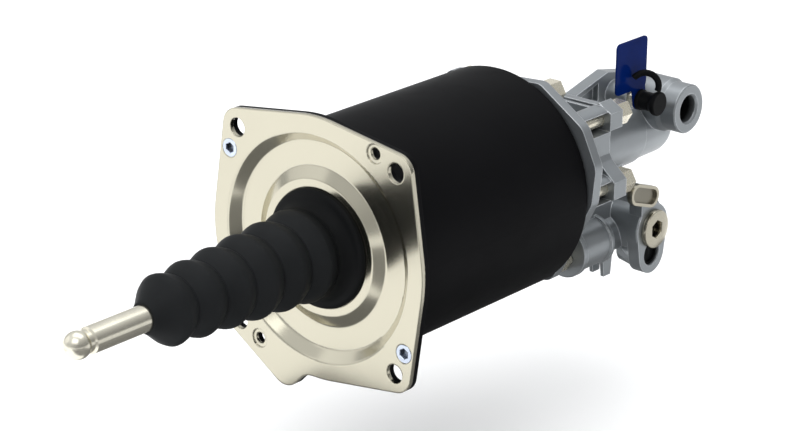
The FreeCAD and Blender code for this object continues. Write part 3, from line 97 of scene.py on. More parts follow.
class ServoSizes(bpy.types.PropertyGroup):
    """Sizes of the pieces made here and of the studio."""

    fold_count: bpy.props.IntProperty(name="Folds", description="Folds along the gaiter", default=6, min=2)
    first_fold: length("First fold", "Place of the front fold's crest along the axis", -110.6 * MM)
    last_fold: length("Last fold", "Place of the rear fold's crest along the axis", -15.0 * MM)
    first_radius: length("Front radius", "Radius of the front fold's crest", 18.8 * MM)
    last_radius: length("Rear radius", "Radius of the rear fold's crest", 25.4 * MM)
    fold_depth: length("Fold depth", "Depth of the valleys between folds", 5.6 * MM)
    rod_radius: length("Rod radius", "Radius of the rod inside the gaiter's nose", 7.0 * MM)
    wall: length("Gaiter wall", "Thickness of the gaiter's rubber", 1.7 * MM)
    collar_start: length("Collar start", "Place where the folds end and the held collar begins", -8.0 * MM)
    plate_hole: length("Plate hole", "Radius of the hole that holds the gaiter's collar", 33.0 * MM)
    plate_face: length("Boss face", "Depth of the front plate's raised boss", 2.2 * MM)
    plate_sheet: length("Plate sheet", "Thickness of the front plate's sheet", 2.5 * MM)
    screw_circle: length("Screw circle", "Distance of the plate's screws from the axis", 74.2 * MM)
    screw_angle: bpy.props.FloatProperty(
        name="Screw angle",
        description="Angle of the upper screw round the axis, from +X",
        default=math.radians(145.4),
        unit="ROTATION",
    )
    screw_head: length("Screw head", "Radius of a plate screw's head", 5.15 * MM)
    screw_shank: length("Screw shank", "Radius of a plate screw's shank", 3.0 * MM)
    screw_drive: length("Screw drive", "Width of a plate screw's hexagon socket", 5.0 * MM)
    plug_drive: length("Plug drive", "Width of the relay plug's hexagon socket", 9.4 * MM)
    plug_thread: length("Plug thread", "Radius of the relay plug's thread", 6.95 * MM)
    plug_height: length("Plug head height", "Height of the relay plug's head", 3.0 * MM)
    port_face: length("Port face", "Place of the hydraulic port's face across the servo", 40.0 * MM)
    floor_drop: length("Floor drop", "Gap between the servo's lowest point and the floor", 55.0 * MM)


class ServoColours(bpy.types.PropertyGroup):
    """Colours of the finishes."""

    plate: colour("Plate", "Nickel-tinted zinc of the front plate", (0.59, 0.559, 0.450))
    enamel: colour("Enamel", "Black enamel of the pot", (0.0046, 0.0046, 0.0053))
    rubber: colour("Rubber", "Rubber of the gaiter", (0.0125, 0.0135, 0.0145))
    seal: colour("Seal rubber", "Rubber of the seals, the cap and its strap", (0.0045, 0.0048, 0.0052))
    rod: colour("Rod", "Zinc of the push rod", (0.86, 0.82, 0.69))
    casting: colour("Casting", "Cast aluminium of the rear housing", (0.315, 0.335, 0.351))
    # painted highlight: the colour the housing's rounded edges are lightened towards, standing in for the
    # glints on them
    edge: colour("Casting edges", "Polished edges of the rear housing", (0.80, 0.83, 0.86))
    bolt: colour("Bolts", "Champagne zinc of bolts, end plug and bleed screw", (0.93, 0.875, 0.72))
    # painted shade: the bolts' champagne zinc made darker, so that the plug face's reflection of the
    # bright floor reads dimmer; the relay cover uses it too
    plug: colour("Plug", "Darker champagne zinc of the relay's plug and cover", (0.54, 0.505, 0.41))
    duct: colour("Duct plug", "Zinc of the plug that closes the duct", (0.62, 0.62, 0.60))
    screw: colour("Screws", "Blue zinc of the plate's screws", (0.62, 0.68, 0.80))
    tag: colour("Tag", "Dark blue of the tag", (0.001, 0.011, 0.092))
    steel: colour("Steel", "Plain steel of springs and clips", (0.40, 0.40, 0.41))
    ground: colour("Ground steel", "Ground steel of the plunger and the relay piston", (0.66, 0.66, 0.67))
    alloy: colour("Piston", "Cast aluminium of the air piston", (0.58, 0.59, 0.60))
    bronze: colour("Bronze", "Bronze of the bush and valve seat", (0.55, 0.38, 0.18))
    band: colour("Guide band", "Filled plastic of the piston's guide ring", (0.25, 0.16, 0.09))
    gasket: colour("Gasket", "Paper of the housing's gasket", (0.06, 0.065, 0.07))


def sizes():
    return bpy.context.scene.servo_sizes


def colours():
    return bpy.context.scene.servo_colours


# node building

MARKS_PER_CLOUD = 2.5
BUMP_STRENGTH = 0.6
EDGE_SAMPLES = 6
EVERYWHERE = 1.0  # longer than the servo


def node(tree, kind, inputs=None, **values):
    """A node with its plain values set, and each input linked or set."""
    made = tree.nodes.new(kind)
    for name, value in values.items():
        setattr(made, name, value)
    for name, value in (inputs or {}).items():
        if isinstance(value, bpy.types.NodeSocket):
            tree.links.new(value, made.inputs[name])
        else:
            made.inputs[name].default_value = value
    return made


def calculate(tree, operation, first, second):
    return node(tree, "ShaderNodeMath", {0: first, 1: second}, operation=operation).outputs["Value"]


def combine(tree, operation, inputs, output="Vector"):
    return node(tree, "ShaderNodeVectorMath", inputs, operation=operation).outputs[output]


def noise(tree, place, scale, **inputs):
    detail = {name.title(): value for name, value in inputs.items()}
    return node(tree, "ShaderNodeTexNoise", {"Vector": place, "Scale": scale, **detail}).outputs["Fac"]


def spread(tree, value, start, end):
    """A value stretched so that start turns 0 and end turns 1."""
    made = node(tree, "ShaderNodeMapRange", {"Value": value, "From Min": start, "From Max": end})
    return made.outputs["Result"]


def new_group(name, inputs, outputs):
    """A node group with its sockets: itself, its inputs, its outputs and the place on the object."""
    group = bpy.data.node_groups.new(name, "ShaderNodeTree")
    for entry, default in inputs.items():
        kind = "NodeSocketVector" if isinstance(default, tuple) else "NodeSocketFloat"
        group.interface.new_socket(name=entry, in_out="INPUT", socket_type=kind).default_value = default
    for entry in outputs:
        group.interface.new_socket(name=entry, in_out="OUTPUT", socket_type="NodeSocketFloat")
    start = group.nodes.new("NodeGroupInput")
    end = group.nodes.new("NodeGroupOutput")
    place = group.nodes.new("ShaderNodeTexCoord").outputs["Object"]
    return group, start.outputs, end.inputs, place


def grain_group(name):
    """Fine relief and cloudy shade of a rough surface."""
    scales = {"Grain Scale": 900.0, "Cloud Scale": 30.0}
    group, given, out, place = new_group(name, scales, ("Height", "Shade"))
    fine = noise(group, place, given["Grain Scale"], detail=4.0, roughness=0.65)
    cloud = noise(group, place, given["Cloud Scale"], detail=3.0, roughness=0.5)
    group.links.new(fine, out["Height"])
    group.links.new(spread(group, cloud, 0.3, 0.7), out["Shade"])
    return group


def marks_group(name):
    """Faint handling marks, as a mask."""
    group, given, out, place = new_group(name, {"Scale": 60.0, "Amount": 0.5}, ("Mask",))
    smear = noise(group, place, given["Scale"], detail=5.0, distortion=0.8)
    scaled = calculate(group, "MULTIPLY", spread(group, smear, 0.45, 0.75), given["Amount"])
    group.links.new(scaled, out["Mask"])
    return group


def recess_group(name):
    """Mask of a hole's inside: near its centre line, and between its mouth and its floor."""
    inputs = {
        "Mouth": (0.0, 0.0, 0.0),
        "Inward": (0.0, 1.0, 0.0),
        "Start": 0.5 * MM,
        "End": 1.5 * MM,
        "Reach": 10.0 * MM,
        "Floor": EVERYWHERE,
    }
    group, given, out, place = new_group(name, inputs, ("Mask",))
    away = combine(group, "SUBTRACT", {0: place, 1: given["Mouth"]})
    deep = combine(group, "DOT_PRODUCT", {0: away, 1: given["Inward"]}, "Value")
    along = combine(group, "SCALE", {0: given["Inward"], "Scale": deep})
    across = combine(group, "SUBTRACT", {0: away, 1: along})
    radius = combine(group, "LENGTH", {0: across}, "Value")
    near = calculate(group, "LESS_THAN", radius, given["Reach"])
    below = spread(group, deep, given["Start"], given["End"])
    above = calculate(group, "LESS_THAN", deep, given["Floor"])
    inside = calculate(group, "MULTIPLY", calculate(group, "MULTIPLY", near, below), above)
    group.links.new(inside, out["Mask"])
    return group


def shared_group(name, build):
    """The node group with this name, which is built at its first use."""
    return bpy.data.node_groups.get(name) or build(name)


def blend_colours(tree, mask, first, second, blend="MIX"):
    """The first colour, blended with the second where the mask is white."""
    mixed = node(tree, "ShaderNodeMix", {"Factor": mask}, data_type="RGBA", blend_type=blend)
    for name, value in (("A", first), ("B", second)):
        entry = next(found for found in mixed.inputs if found.name == name and found.type == "RGBA")
        if isinstance(value, bpy.types.NodeSocket):
            tree.links.new(value, entry)
        else:
            entry.default_value = (*value, 1.0)
    return next(found for found in mixed.outputs if found.type == "RGBA")


def recolour(tree, mask, shade, blend="MIX"):
    """Blends a finish's colour with another where the mask is white."""
    base = next(entry for entry in tree.nodes if entry.type == "BSDF_PRINCIPLED").inputs["Base Color"]
    tree.links.new(blend_colours(tree, mask, base.links[0].from_socket, shade, blend), base)


def shade_recess(made, mouth, inward, start, end, reach=EVERYWHERE, floor=EVERYWHERE, left=0.1):
    """Darkens a finish inside a hole, where little light gets in."""
    values = {"Mouth": mouth, "Inward": inward, "Start": start, "End": end, "Reach": reach, "Floor": floor}
    tree = made.node_tree
    mask = node(tree, "ShaderNodeGroup", values, node_tree=shared_group("recess_shade", recess_group))
    recolour(tree, mask.outputs["Mask"], (left, left, left), "MULTIPLY")


def paint_edge_highlight(tree, rounded, amount):
    """Paints a highlight on a casting's edges: lighter colour where the rounded normal turns away from the
    flat one.
    """
    flat = tree.nodes.new("ShaderNodeNewGeometry").outputs["Normal"]
    alike = combine(tree, "DOT_PRODUCT", {0: rounded, 1: flat}, "Value")
    mask = node(
        tree, "ShaderNodeMapRange", {"Value": alike, "From Min": 0.99, "From Max": 0.86, "To Max": amount}
    )
    recolour(tree, mask.outputs["Result"], colours().edge)


def finish(
    name,
    base,
    metallic,
    roughness,
    grain,
    cloud,
    relief,
    tint=0.12,
    rough_spread=0.08,
    rounding=0.0,
    gloss=0.5,
    edges=0.0,
):
    """A finish with cloudy colour, uneven roughness and fine relief.

    Grain and cloud are noise scales per metre, and relief and rounding are lengths.
    """
    made = bpy.data.materials.new(name)
    made.use_nodes = True
    made.diffuse_color = (*base, 1.0)
    tree = made.node_tree
    tree.nodes.clear()
    scales = {"Grain Scale": grain, "Cloud Scale": cloud}
    texture = node(tree, "ShaderNodeGroup", scales, node_tree=shared_group("surface_grain", grain_group))
    scales = {"Scale": cloud * MARKS_PER_CLOUD}
    marks = node(tree, "ShaderNodeGroup", scales, node_tree=shared_group("handling_marks", marks_group))
    dark = [part * (1.0 - tint) for part in base]
    light = [min(1.0, part * (1.0 + tint)) for part in base]
    uneven = node(
        tree,
        "ShaderNodeMapRange",
        {"Value": marks.outputs["Mask"], "To Min": roughness, "To Max": roughness + rough_spread},
    )
    bump = node(
        tree,
        "ShaderNodeBump",
        {"Height": texture.outputs["Height"], "Strength": BUMP_STRENGTH, "Distance": relief},
    )
    surface = node(
        tree,
        "ShaderNodeBsdfPrincipled",
        {
            "Base Color": blend_colours(tree, texture.outputs["Shade"], dark, light),
            "Metallic": metallic,
            "Roughness": uneven.outputs["Result"],
            "Specular IOR Level": gloss,
            "Normal": bump.outputs["Normal"],
        },
    )
    node(tree, "ShaderNodeOutputMaterial", {"Surface": surface.outputs["BSDF"]})
    if rounding:
        edge = node(tree, "ShaderNodeBevel", {"Radius": rounding}, samples=EDGE_SAMPLES)
        tree.links.new(edge.outputs["Normal"], bump.inputs["Normal"])
        # painted highlight along the rounded edges
        if edges:
            paint_edge_highlight(tree, edge.outputs["Normal"], edges)
    return made


def dress(made, *names):
    """Gives a finish to CAD pieces."""
    for name in names:
        mesh = frame["nodes"][name].data
        mesh.materials.clear()
        mesh.materials.append(made)


# piece building

MERGE_DISTANCE = 0.001 * MM
SHARP_ANGLE = math.radians(38.0)
SHELL_STEPS = 128
RING_POINTS = 48
# turns from a piece's own line, which is Z
ALONG_Y = Matrix.Rotation(math.radians(-90.0), 4, "X")
ALONG_X = Matrix.Rotation(math.radians(90.0), 4, "Y") @ Matrix.Rotation(math.radians(90.0), 4, "Z")


def mesh_object(name, bm, made):
    """An object at the origin, from a bmesh and a material."""
    mesh = bpy.data.meshes.new(name)
    bm.to_mesh(mesh)
    bm.free()
    mesh.materials.append(made)
    held = bpy.data.objects.new(name, mesh)
    bpy.context.scene.collection.objects.link(held)
    return held


def mesh_piece(name, bm, made):
    """A finished piece, smooth but for its sharp edges, with its faces outwards."""
    bmesh.ops.remove_doubles(bm, verts=bm.verts, dist=MERGE_DISTANCE)
    bmesh.ops.recalc_face_normals(bm, faces=bm.faces)
    piece = mesh_object(name, bm, made)
    for face in piece.data.polygons:
        face.use_smooth = True
    piece.data.set_sharp_from_angle(angle=SHARP_ANGLE)
    return piece


def turned_shell(outline):
    """A closed (radius, y) outline turned once about the servo's axis."""
    bm = bmesh.new()
    rim = [bm.verts.new((radius, y, 0.0)) for radius, y in outline]
    edges = [bm.edges.new((rim[i], rim[(i + 1) % len(rim)])) for i in range(len(rim))]
    bmesh.ops.spin(
        bm,
        geom=rim + edges,
        cent=(0.0, 0.0, 0.0),
        axis=(0.0, 1.0, 0.0),
        angle=math.tau,
        steps=SHELL_STEPS,
        use_merge=True,
        use_duplicate=False,
    )
    return bm


def ring(bm, radius, height, hexagon=False):
    """The edges of a level ring. A hexagon, with a corner up, has as many points as a round ring."""
    sides = RING_POINTS
    if hexagon:
        sides = 6
        radius /= math.cos(math.radians(30.0))
    level = Matrix.Translation((0.0, 0.0, height))
    made = bmesh.ops.create_circle(bm, cap_ends=False, segments=sides, radius=radius, matrix=level)
    edges = list(dict.fromkeys(edge for point in made["verts"] for edge in point.link_edges))
    if hexagon:
        cut = bmesh.ops.subdivide_edges(bm, edges=edges, cuts=RING_POINTS // sides - 1)
        edges = [entry for entry in cut["geom"] if isinstance(entry, bmesh.types.BMEdge)]
    return edges


def turned_with_socket(spots, line, outside, socket):
    """Turned pieces with a hexagon socket, closed at the hidden end and at the socket's floor.

    Both outlines hold pairs of a radius, or half the socket's width, and a place along the piece's line.
    The rings are bridged one above the other in millimetres, because bridging twists rings that are
    level or small, and then go to their places.
    """
    bm = bmesh.new()
    for spot in spots:
        rings = [ring(bm, radius / MM, step) for step, (radius, along) in enumerate(outside)]
        for half, along in socket:
            rings.append(ring(bm, half / MM, len(rings), hexagon=True))
        for first, second in zip(rings, rings[1:]):
            bmesh.ops.bridge_loops(bm, edges=first + second)
        bmesh.ops.edgeloop_fill(bm, edges=rings[0])
        bmesh.ops.edgeloop_fill(bm, edges=rings[-1])
        place = Matrix.Translation(spot) @ line
        for edges, (radius, along) in zip(rings, outside + socket):
            for point in dict.fromkeys(point for edge in edges for point in edge.verts):
                point.co = place @ Vector((point.co.x * MM, point.co.y * MM, along))
    return bm


def smooth_run(points, per_span):
    """Points on a smooth curve that passes through the given ones."""
    run = []
    padded = [points[0], *points, points[-1]]
    for i in range(1, len(padded) - 2):
        a, b, c, d = (Vector(point) for point in padded[i - 1 : i + 3])
        for step in range(per_span):
            t = step / per_span
            slope = (c - a) * t
            bend = (2 * a - 5 * b + 4 * c - d) * t**2
            twist = (3 * b - a - 3 * c + d) * t**3
            run.append(tuple(b + (slope + bend + twist) * 0.5))
    run.append(tuple(points[-1]))
    return run


# gaiter

STEPS_PER_FOLD = 16
STEPS_PER_SPAN = 5
CREST_SOFTNESS = 0.02
VALLEY_SHARPNESS = 0.97
VALLEY_GAIN = 1.2
LINING_SHIFT = 0.5 * MM


def gaiter_folds():
    """The waves of the gaiter's outer line as (radius, y) points, from the first crest to the last."""
    size = sizes()
    spans = size.fold_count - 1
    pitch = (size.last_fold - size.first_fold) / spans
    waves = []
    for i in range(spans * STEPS_PER_FOLD + 1):
        t = i / STEPS_PER_FOLD
        crest = size.first_radius + (size.last_radius - size.first_radius) * t / spans
        away = 2.0 * abs(t - round(t))
        soft = math.sqrt(away**2 + CREST_SOFTNESS) - math.sqrt(CREST_SOFTNESS)
        drop = VALLEY_GAIN * (1.0 - math.sqrt(1.0 - VALLEY_SHARPNESS * soft))
        waves.append((crest - size.fold_depth * drop, size.first_fold + pitch * t))
    return waves


def gaiter_outside():
    """The gaiter's outer line as (radius, y) points, from the rod to the edge of its collar."""
    size = sizes()
    rod, tip = size.rod_radius, GAITER_TIP
    hole, face = size.plate_hole, size.plate_face
    nose = [
        (rod + 1.0 * MM, tip),
        (rod + 1.5 * MM, tip + 0.5 * MM),
        (rod + 3.4 * MM, tip + 3.4 * MM),
        (rod + 7.2 * MM, tip + 7.8 * MM),
        (size.first_radius - 1.5 * MM, tip + 11.4 * MM),
    ]
    folds = gaiter_folds()
    throat = [
        folds[-1],
        (size.last_radius - 0.9 * MM, size.last_fold + 4.6 * MM),
        (size.last_radius - 2.0 * MM, size.last_fold + 8.2 * MM),
        (size.last_radius - 0.6 * MM, size.last_fold + 11.0 * MM),
        (hole - 5.2 * MM, face - 3.6 * MM),
        (hole - 2.0 * MM, face - 2.8 * MM),
        (hole - 0.5 * MM, face - 1.9 * MM),
        (hole - 0.1 * MM, face - 0.9 * MM),
    ]
    return smooth_run(nose, STEPS_PER_SPAN) + folds + smooth_run(throat, STEPS_PER_SPAN)[1:]


def gaiter_bead(hole, back):
    """The bead behind the plate that keeps the collar in, as (radius, y) points."""
    return [
        (hole - 0.1 * MM, back),
        (hole + 2.6 * MM, back),
        (hole + 2.9 * MM, back + 0.4 * MM),
        (hole + 2.9 * MM, back + 1.6 * MM),
        (hole + 2.5 * MM, back + 2.0 * MM),
        (hole - 2.4 * MM, back + 2.0 * MM),
    ]


class SERVO_OT_gaiter(bpy.types.Operator):
    """Make the rubber gaiter that folds up as the push rod goes in, and its collar that the plate holds"""

    bl_idname = "servo.gaiter"
    bl_label = "Rubber Gaiter"

    def execute(self, context):
        size = sizes()
        outside = gaiter_outside()
        split = size.collar_start
        folds = [point for point in outside if point[1] <= split]
        throat = [point for point in outside if point[1] > split]

        rod = size.rod_radius + 0.03 * MM
        lining = [(max(rod, radius - size.wall), y + LINING_SHIFT) for radius, y in reversed(folds)]
        nose = [(rod, folds[0][1])]

        neck = folds[-1][0]
        overlap = split - 3.0 * MM
        tuck = [(neck - size.wall, overlap), (neck - 0.9 * MM, overlap), (neck - 0.9 * MM, split)]
        bead = gaiter_bead(size.plate_hole, size.plate_face + size.plate_sheet + 0.1 * MM)
        flare = size.plate_face - 2.8 * MM
        back = [(radius - size.wall, y + LINING_SHIFT) for radius, y in reversed(throat) if y < flare]

        rubber = finish(
            "gaiter_rubber",
            colours().rubber,
            metallic=0.0,
            roughness=0.5,
            grain=1500.0,
            cloud=40.0,
            relief=0.02 * MM,
            gloss=0.08,
        )
        shade_recess(rubber, (0.0, 0.0, 0.0), (0.0, 1.0, 0.0), -15.0 * MM, -5.0 * MM, left=0.45)

        bellows = mesh_piece("rubber_gaiter", turned_shell(folds + lining + nose), rubber)
        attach(bellows, "rod")
        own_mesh(bellows)
        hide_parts("gaiter")

        held = mesh_piece("gaiter_collar", turned_shell(tuck + throat + bead + back), rubber)
        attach(held, "servo")
        return {"FINISHED"}


class SERVO_OT_screws(bpy.types.Operator):
    """Make the two countersunk screws that join the front plate to the pot"""

    bl_idname = "servo.screws"
    bl_label = "Plate Screws"

    def execute(self, context):
        size = sizes()
        head, shank, half = size.screw_head, size.screw_shank, size.screw_drive / 2.0
        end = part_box("plate_screws")[1][1]
        face = 0.08 * MM
        outside = (
            (shank - 0.5 * MM, end),
            (shank, end - 0.5 * MM),
            (shank, 2.6 * MM),
            (head, 0.55 * MM),
            (head, 0.35 * MM),
            (head - 0.25 * MM, face),
        )
        socket = ((half + 0.35 * MM, face), (half, 0.4 * MM), (half, 2.4 * MM))
        upper = Vector((math.cos(size.screw_angle), 0.0, math.sin(size.screw_angle))) * size.screw_circle
        shape = turned_with_socket((upper, -upper), ALONG_Y, outside, socket)

        zinc = finish(
            "screw_zinc",
            colours().screw,
            metallic=1.0,
            roughness=0.24,
            grain=2500.0,
            cloud=90.0,
            relief=0.003 * MM,
            tint=0.05,
            rounding=0.2 * MM,
        )
        shade_recess(zinc, (0.0, 0.0, 0.0), (0.0, 1.0, 0.0), 0.4 * MM, 1.6 * MM, left=0.3)
        screws = mesh_piece("zinc_screws", shape, zinc)
        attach(screws, "servo")
        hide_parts("plate_screws")
        return {"FINISHED"}


class SERVO_OT_plug(bpy.types.Operator):
    """Make the relay's screwed plug with its hexagon socket"""

    bl_idname = "servo.plug"
    bl_label = "Relay Plug"

    def execute(self, context):
        size = sizes()
        low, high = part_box("relay_plug")
        middle = (low + high) / 2.0
        head = (high[1] - low[1]) / 2.0
        thread, half = size.plug_thread, size.plug_drive / 2.0
        end, top = low[0], high[0]
        seat = top - size.plug_height
        outside = (
            (thread - 0.8 * MM, end),
            (thread, end + 0.8 * MM),
            (thread, seat),
            (head, seat),
            (head, top - 0.7 * MM),
            (head - 0.25 * MM, top - 0.2 * MM),
            (head - 0.7 * MM, top),
        )
        socket = ((half + 0.3 * MM, top), (half, top - 0.4 * MM), (half, top - 5.0 * MM))
        shape = turned_with_socket(((0.0, middle[1], middle[2]),), ALONG_X, outside, socket)

        # the plug's darker zinc is painted shade, dimming its reflection of the bright floor
        zinc = finish(
            "plug_bright",
            colours().plug,
            metallic=1.0,
            roughness=0.24,
            grain=2000.0,
            cloud=90.0,
            relief=0.002 * MM,
            tint=0.05,
            rounding=0.4 * MM,
        )
        mouth = (top, middle[1], middle[2])
        shade_recess(zinc, mouth, (-1.0, 0.0, 0.0), 0.4 * MM, 2.4 * MM, reach=5.0 * MM, left=0.2)
        plug = mesh_piece("zinc_plug", shape, zinc)
        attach(plug, "servo")
        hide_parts("relay_plug")
        return {"FINISHED"}


def spring_piece(name, node_name, made):
    """A spring made from a copy of its CAD piece's mesh, held by the servo in place of the CAD piece."""
    bm = bmesh.new()
    bm.from_mesh(frame["nodes"][node_name].data)
    piece = mesh_piece(name, bm, made)
    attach(piece, "servo")
    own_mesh(piece)
    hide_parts(node_name)


class SERVO_OT_springs(bpy.types.Operator):
    """Make the return spring and the relay's two springs, which shorten in use"""

    bl_idname = "servo.springs"
    bl_label = "Springs"

    def execute(self, context):
        steel = finish(
            "spring_wire",
            colours().steel,
            metallic=1.0,
            roughness=0.35,
            grain=2500.0,
            cloud=60.0,
            relief=0.01 * MM,
        )
        spring_piece("return_coil", "return_spring", steel)
        spring_piece("relay_coil", "relay_spring", steel)
        spring_piece("valve_coil", "valve_spring", steel)
        return {"FINISHED"}


class SERVO_OT_front(bpy.types.Operator):
    """Finish the front plate, the pot and the push rod"""

    bl_idname = "servo.front"
    bl_label = "Front Plate, Pot and Rod"

    def execute(self, context):
        tone = colours()
        plate = finish(
            "plate_zinc",
            tone.plate,
            metallic=1.0,
            roughness=0.16,
            grain=1800.0,
            cloud=14.0,
            relief=0.003 * MM,
            tint=0.02,
            rough_spread=0.04,
            rounding=1.1 * MM,
        )
        dress(plate, "front_plate")
        enamel = finish(
            "pot_enamel",
            tone.enamel,
            metallic=0.0,
            roughness=0.45,
            grain=1300.0,
            cloud=18.0,
            relief=0.008 * MM,
            tint=0.1,
            rounding=0.4 * MM,
            gloss=0.035,
        )
        dress(enamel, "cylinder_pot")
        rod = finish(
            "rod_zinc",
            tone.rod,
            metallic=1.0,
            roughness=0.24,
            grain=1800.0,
            cloud=45.0,
            relief=0.01 * MM,
            tint=0.05,
        )
        dress(rod, "push_rod")
        return {"FINISHED"}


class SERVO_OT_inside(bpy.types.Operator):
    """Finish the piston, plunger, gland and relay pieces that the casings hide"""

    bl_idname = "servo.inside"
    bl_label = "Inner Pieces"

    def execute(self, context):
        tone = colours()
        alloy = finish(
            "piston_casting",
            tone.alloy,
            metallic=1.0,
            roughness=0.38,
            grain=1400.0,
            cloud=40.0,
            relief=0.02 * MM,
        )
        dress(alloy, "air_piston")
        ground = finish(
            "ground_shaft",
            tone.ground,
            metallic=1.0,
            roughness=0.12,
            grain=4000.0,
            cloud=90.0,
            relief=0.004 * MM,
            tint=0.04,
        )
        dress(ground, "hydraulic_plunger", "relay_piston")
        steel = finish(
            "clip_steel",
            tone.steel,
            metallic=1.0,
            roughness=0.3,
            grain=2500.0,
            cloud=60.0,
            relief=0.01 * MM,
        )
        dress(steel, "rod_clip", "gland_ring")
        bronze = finish(
            "bush_bronze",
            tone.bronze,
            metallic=1.0,
            roughness=0.32,
            grain=2200.0,
            cloud=70.0,
            relief=0.01 * MM,
        )
        dress(bronze, "gland_bush", "valve_seat")
        band = finish(
            "guide_band",
            tone.band,
            metallic=0.0,
            roughness=0.5,
            grain=1600.0,
            cloud=60.0,
            relief=0.02 * MM,
        )
        dress(band, "piston_guide_ring")
        seal = finish(
            "seal_black",
            tone.seal,
            metallic=0.0,
            roughness=0.4,
            grain=1800.0,
            cloud=60.0,
            relief=0.02 * MM,
            tint=0.2,
        )
        dress(seal, "piston_lip_seal", "gland_wiper", "gland_seal")
        dress(seal, "relay_piston_ring", "relay_plug_seal", "inlet_valve")
        paper = finish(
            "gasket_paper",
            tone.gasket,
            metallic=0.0,
            roughness=0.8,
            grain=2600.0,
            cloud=80.0,
            relief=0.03 * MM,
        )
        dress(paper, "housing_gasket")
        return {"FINISHED"}


class SERVO_OT_housing(bpy.types.Operator):
    """Finish the cast rear housing, its bolts and its plugs"""

    bl_idname = "servo.housing"
    bl_label = "Rear Housing and Bolts"

    def execute(self, context):
        tone = colours()
        cast = finish(
            "housing_casting",
            tone.casting,
            metallic=0.8,
            roughness=0.34,
            grain=1500.0,
            cloud=35.0,
            relief=0.02 * MM,
            tint=0.05,
            rough_spread=0.10,
            rounding=1.0 * MM,
            # strength of the painted highlight along the housing's edges
            edges=0.9,
        )
        port = next(mount for mount in frame["record"]["mounts"] if mount["name"] == "hydraulic_port")
        mouth = (sizes().port_face, port["pos_m"][1], port["pos_m"][2])
        bore = {"reach": 8.6 * MM, "floor": 24.0 * MM, "left": 0.08}
        shade_recess(cast, mouth, (-1.0, 0.0, 0.0), 2.0 * MM, 6.0 * MM, **bore)
        dress(cast, "rear_housing")

        zinc = finish(
            "bolt_zinc",
            tone.bolt,
            metallic=0.9,
            roughness=0.26,
            grain=2000.0,
            cloud=90.0,
            relief=0.001 * MM,
            tint=0.04,
            rounding=0.3 * MM,
        )
        low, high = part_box("relay_end_plug")
        mouth = (low[0], (low[1] + high[1]) / 2.0, (low[2] + high[2]) / 2.0)
        socket = {"reach": 5.0 * MM, "floor": 10.0 * MM, "left": 0.15}
        shade_recess(zinc, mouth, (1.0, 0.0, 0.0), 0.4 * MM, 2.0 * MM, **socket)
        dress(zinc, "tie_bolts_long", "tie_bolts_short", "relay_end_plug", "bleed_screw")

        cover = finish(
            "cover_zinc",
            tone.plug,
            metallic=1.0,
            roughness=0.3,
            grain=2000.0,
            cloud=90.0,
            relief=0.003 * MM,
            tint=0.05,
            rounding=0.4 * MM,
        )
        face = tuple(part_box("relay_cover")[1])
        shade_recess(cover, face, (-1.0, 0.0, 0.0), 0.3 * MM, 1.8 * MM, left=0.45)
        dress(cover, "relay_cover")

        plug = finish(
            "plug_zinc",
            tone.duct,
            metallic=1.0,
            roughness=0.3,
            grain=2000.0,
            cloud=90.0,
            relief=0.01 * MM,
        )
        dress(plug, "duct_plug")
        return {"FINISHED"}


class SERVO_OT_bleed(bpy.types.Operator):
    """Finish the bleed screw's cap, its strap, the exhaust flap and the blue tag"""

    bl_idname = "servo.bleed"
    bl_label = "Cap, Flap and Tag"

    def execute(self, context):
        tone = colours()
        rubber = finish(
            "cap_rubber",
            tone.seal,
            metallic=0.0,
            roughness=0.42,
            grain=1800.0,
            cloud=70.0,
            relief=0.02 * MM,
            tint=0.2,
            gloss=0.06,
        )
        dress(rubber, "bleed_cap", "cap_strap", "exhaust_flap")
        blue = finish(
            "tag_gloss",
            tone.tag,
            metallic=0.0,
            roughness=0.1,
            grain=900.0,
            cloud=60.0,
            relief=0.002 * MM,
            rough_spread=0.04,
            gloss=0.045,
        )
        dress(blue, "bleed_tag")
        return {"FINISHED"}


# studio

CAMERA_PLACE = Vector((0.85310, -0.93542, 0.49180))
CAMERA_TURN = Euler([math.radians(angle) for angle in (69.516, -0.376, 40.505)])
CAMERA_LENS = 116.97
SENSOR_WIDTH = 36.0
VIEW_DEPTH = 60.0
FLOOR_SIZE = 24.0
FLOOR_GLOW = 0.13
CARD_LIFT = 4.0 * MM
LIGHT_AIM = Vector((0.0, 0.08, 0.0))
GREY_CARD = (
    (-0.10, -0.115),
    (0.06, -0.115),
    (0.13, -1.0),
    (1.6, -1.0),
    (1.6, 0.16),
    (0.12, 0.16),
    (0.12, 0.40),
    (-0.10, 0.40),
)
PALE_CARD = ((0.12, 0.16), (1.6, 0.16), (1.6, 1.8), (0.12, 1.8))
BLACK_CARD = (
    (-0.250, -0.304, -0.104),
    (-0.214, -0.339, -0.098),
    (-0.200, -0.330, -0.146),
    (-0.218, -0.306, -0.160),
)


def plain(name, grey, glow=0.0):
    """A matt grey surface, which may glow a little."""
    made = bpy.data.materials.new(name)
    made.use_nodes = True
    surface = made.node_tree.nodes["Principled BSDF"].inputs
    surface["Base Color"].default_value = (grey, grey, grey, 1.0)
    surface["Roughness"].default_value = 0.9
    surface["Emission Color"].default_value = (1.0, 1.0, 1.0, 1.0)
    surface["Emission Strength"].default_value = glow
    return made


def studio_floor(height):
    bm = bmesh.new()
    bmesh.ops.create_grid(bm, x_segments=1, y_segments=1, size=FLOOR_SIZE / 2.0)
    floor = mesh_object("floor", bm, plain("floor_white", 0.95, glow=FLOOR_GLOW))
    floor.location = (0.0, 0.0, height)
    return floor


def card(name, corners, made):
    """A card that only reflections see, as the cards round a photographed metal piece."""
    bm = bmesh.new()
    bm.faces.new([bm.verts.new(corner) for corner in corners])
    held = mesh_object(name, bm, made)
    held.visible_camera = False
    held.visible_diffuse = False
    held.visible_shadow = False
    return held


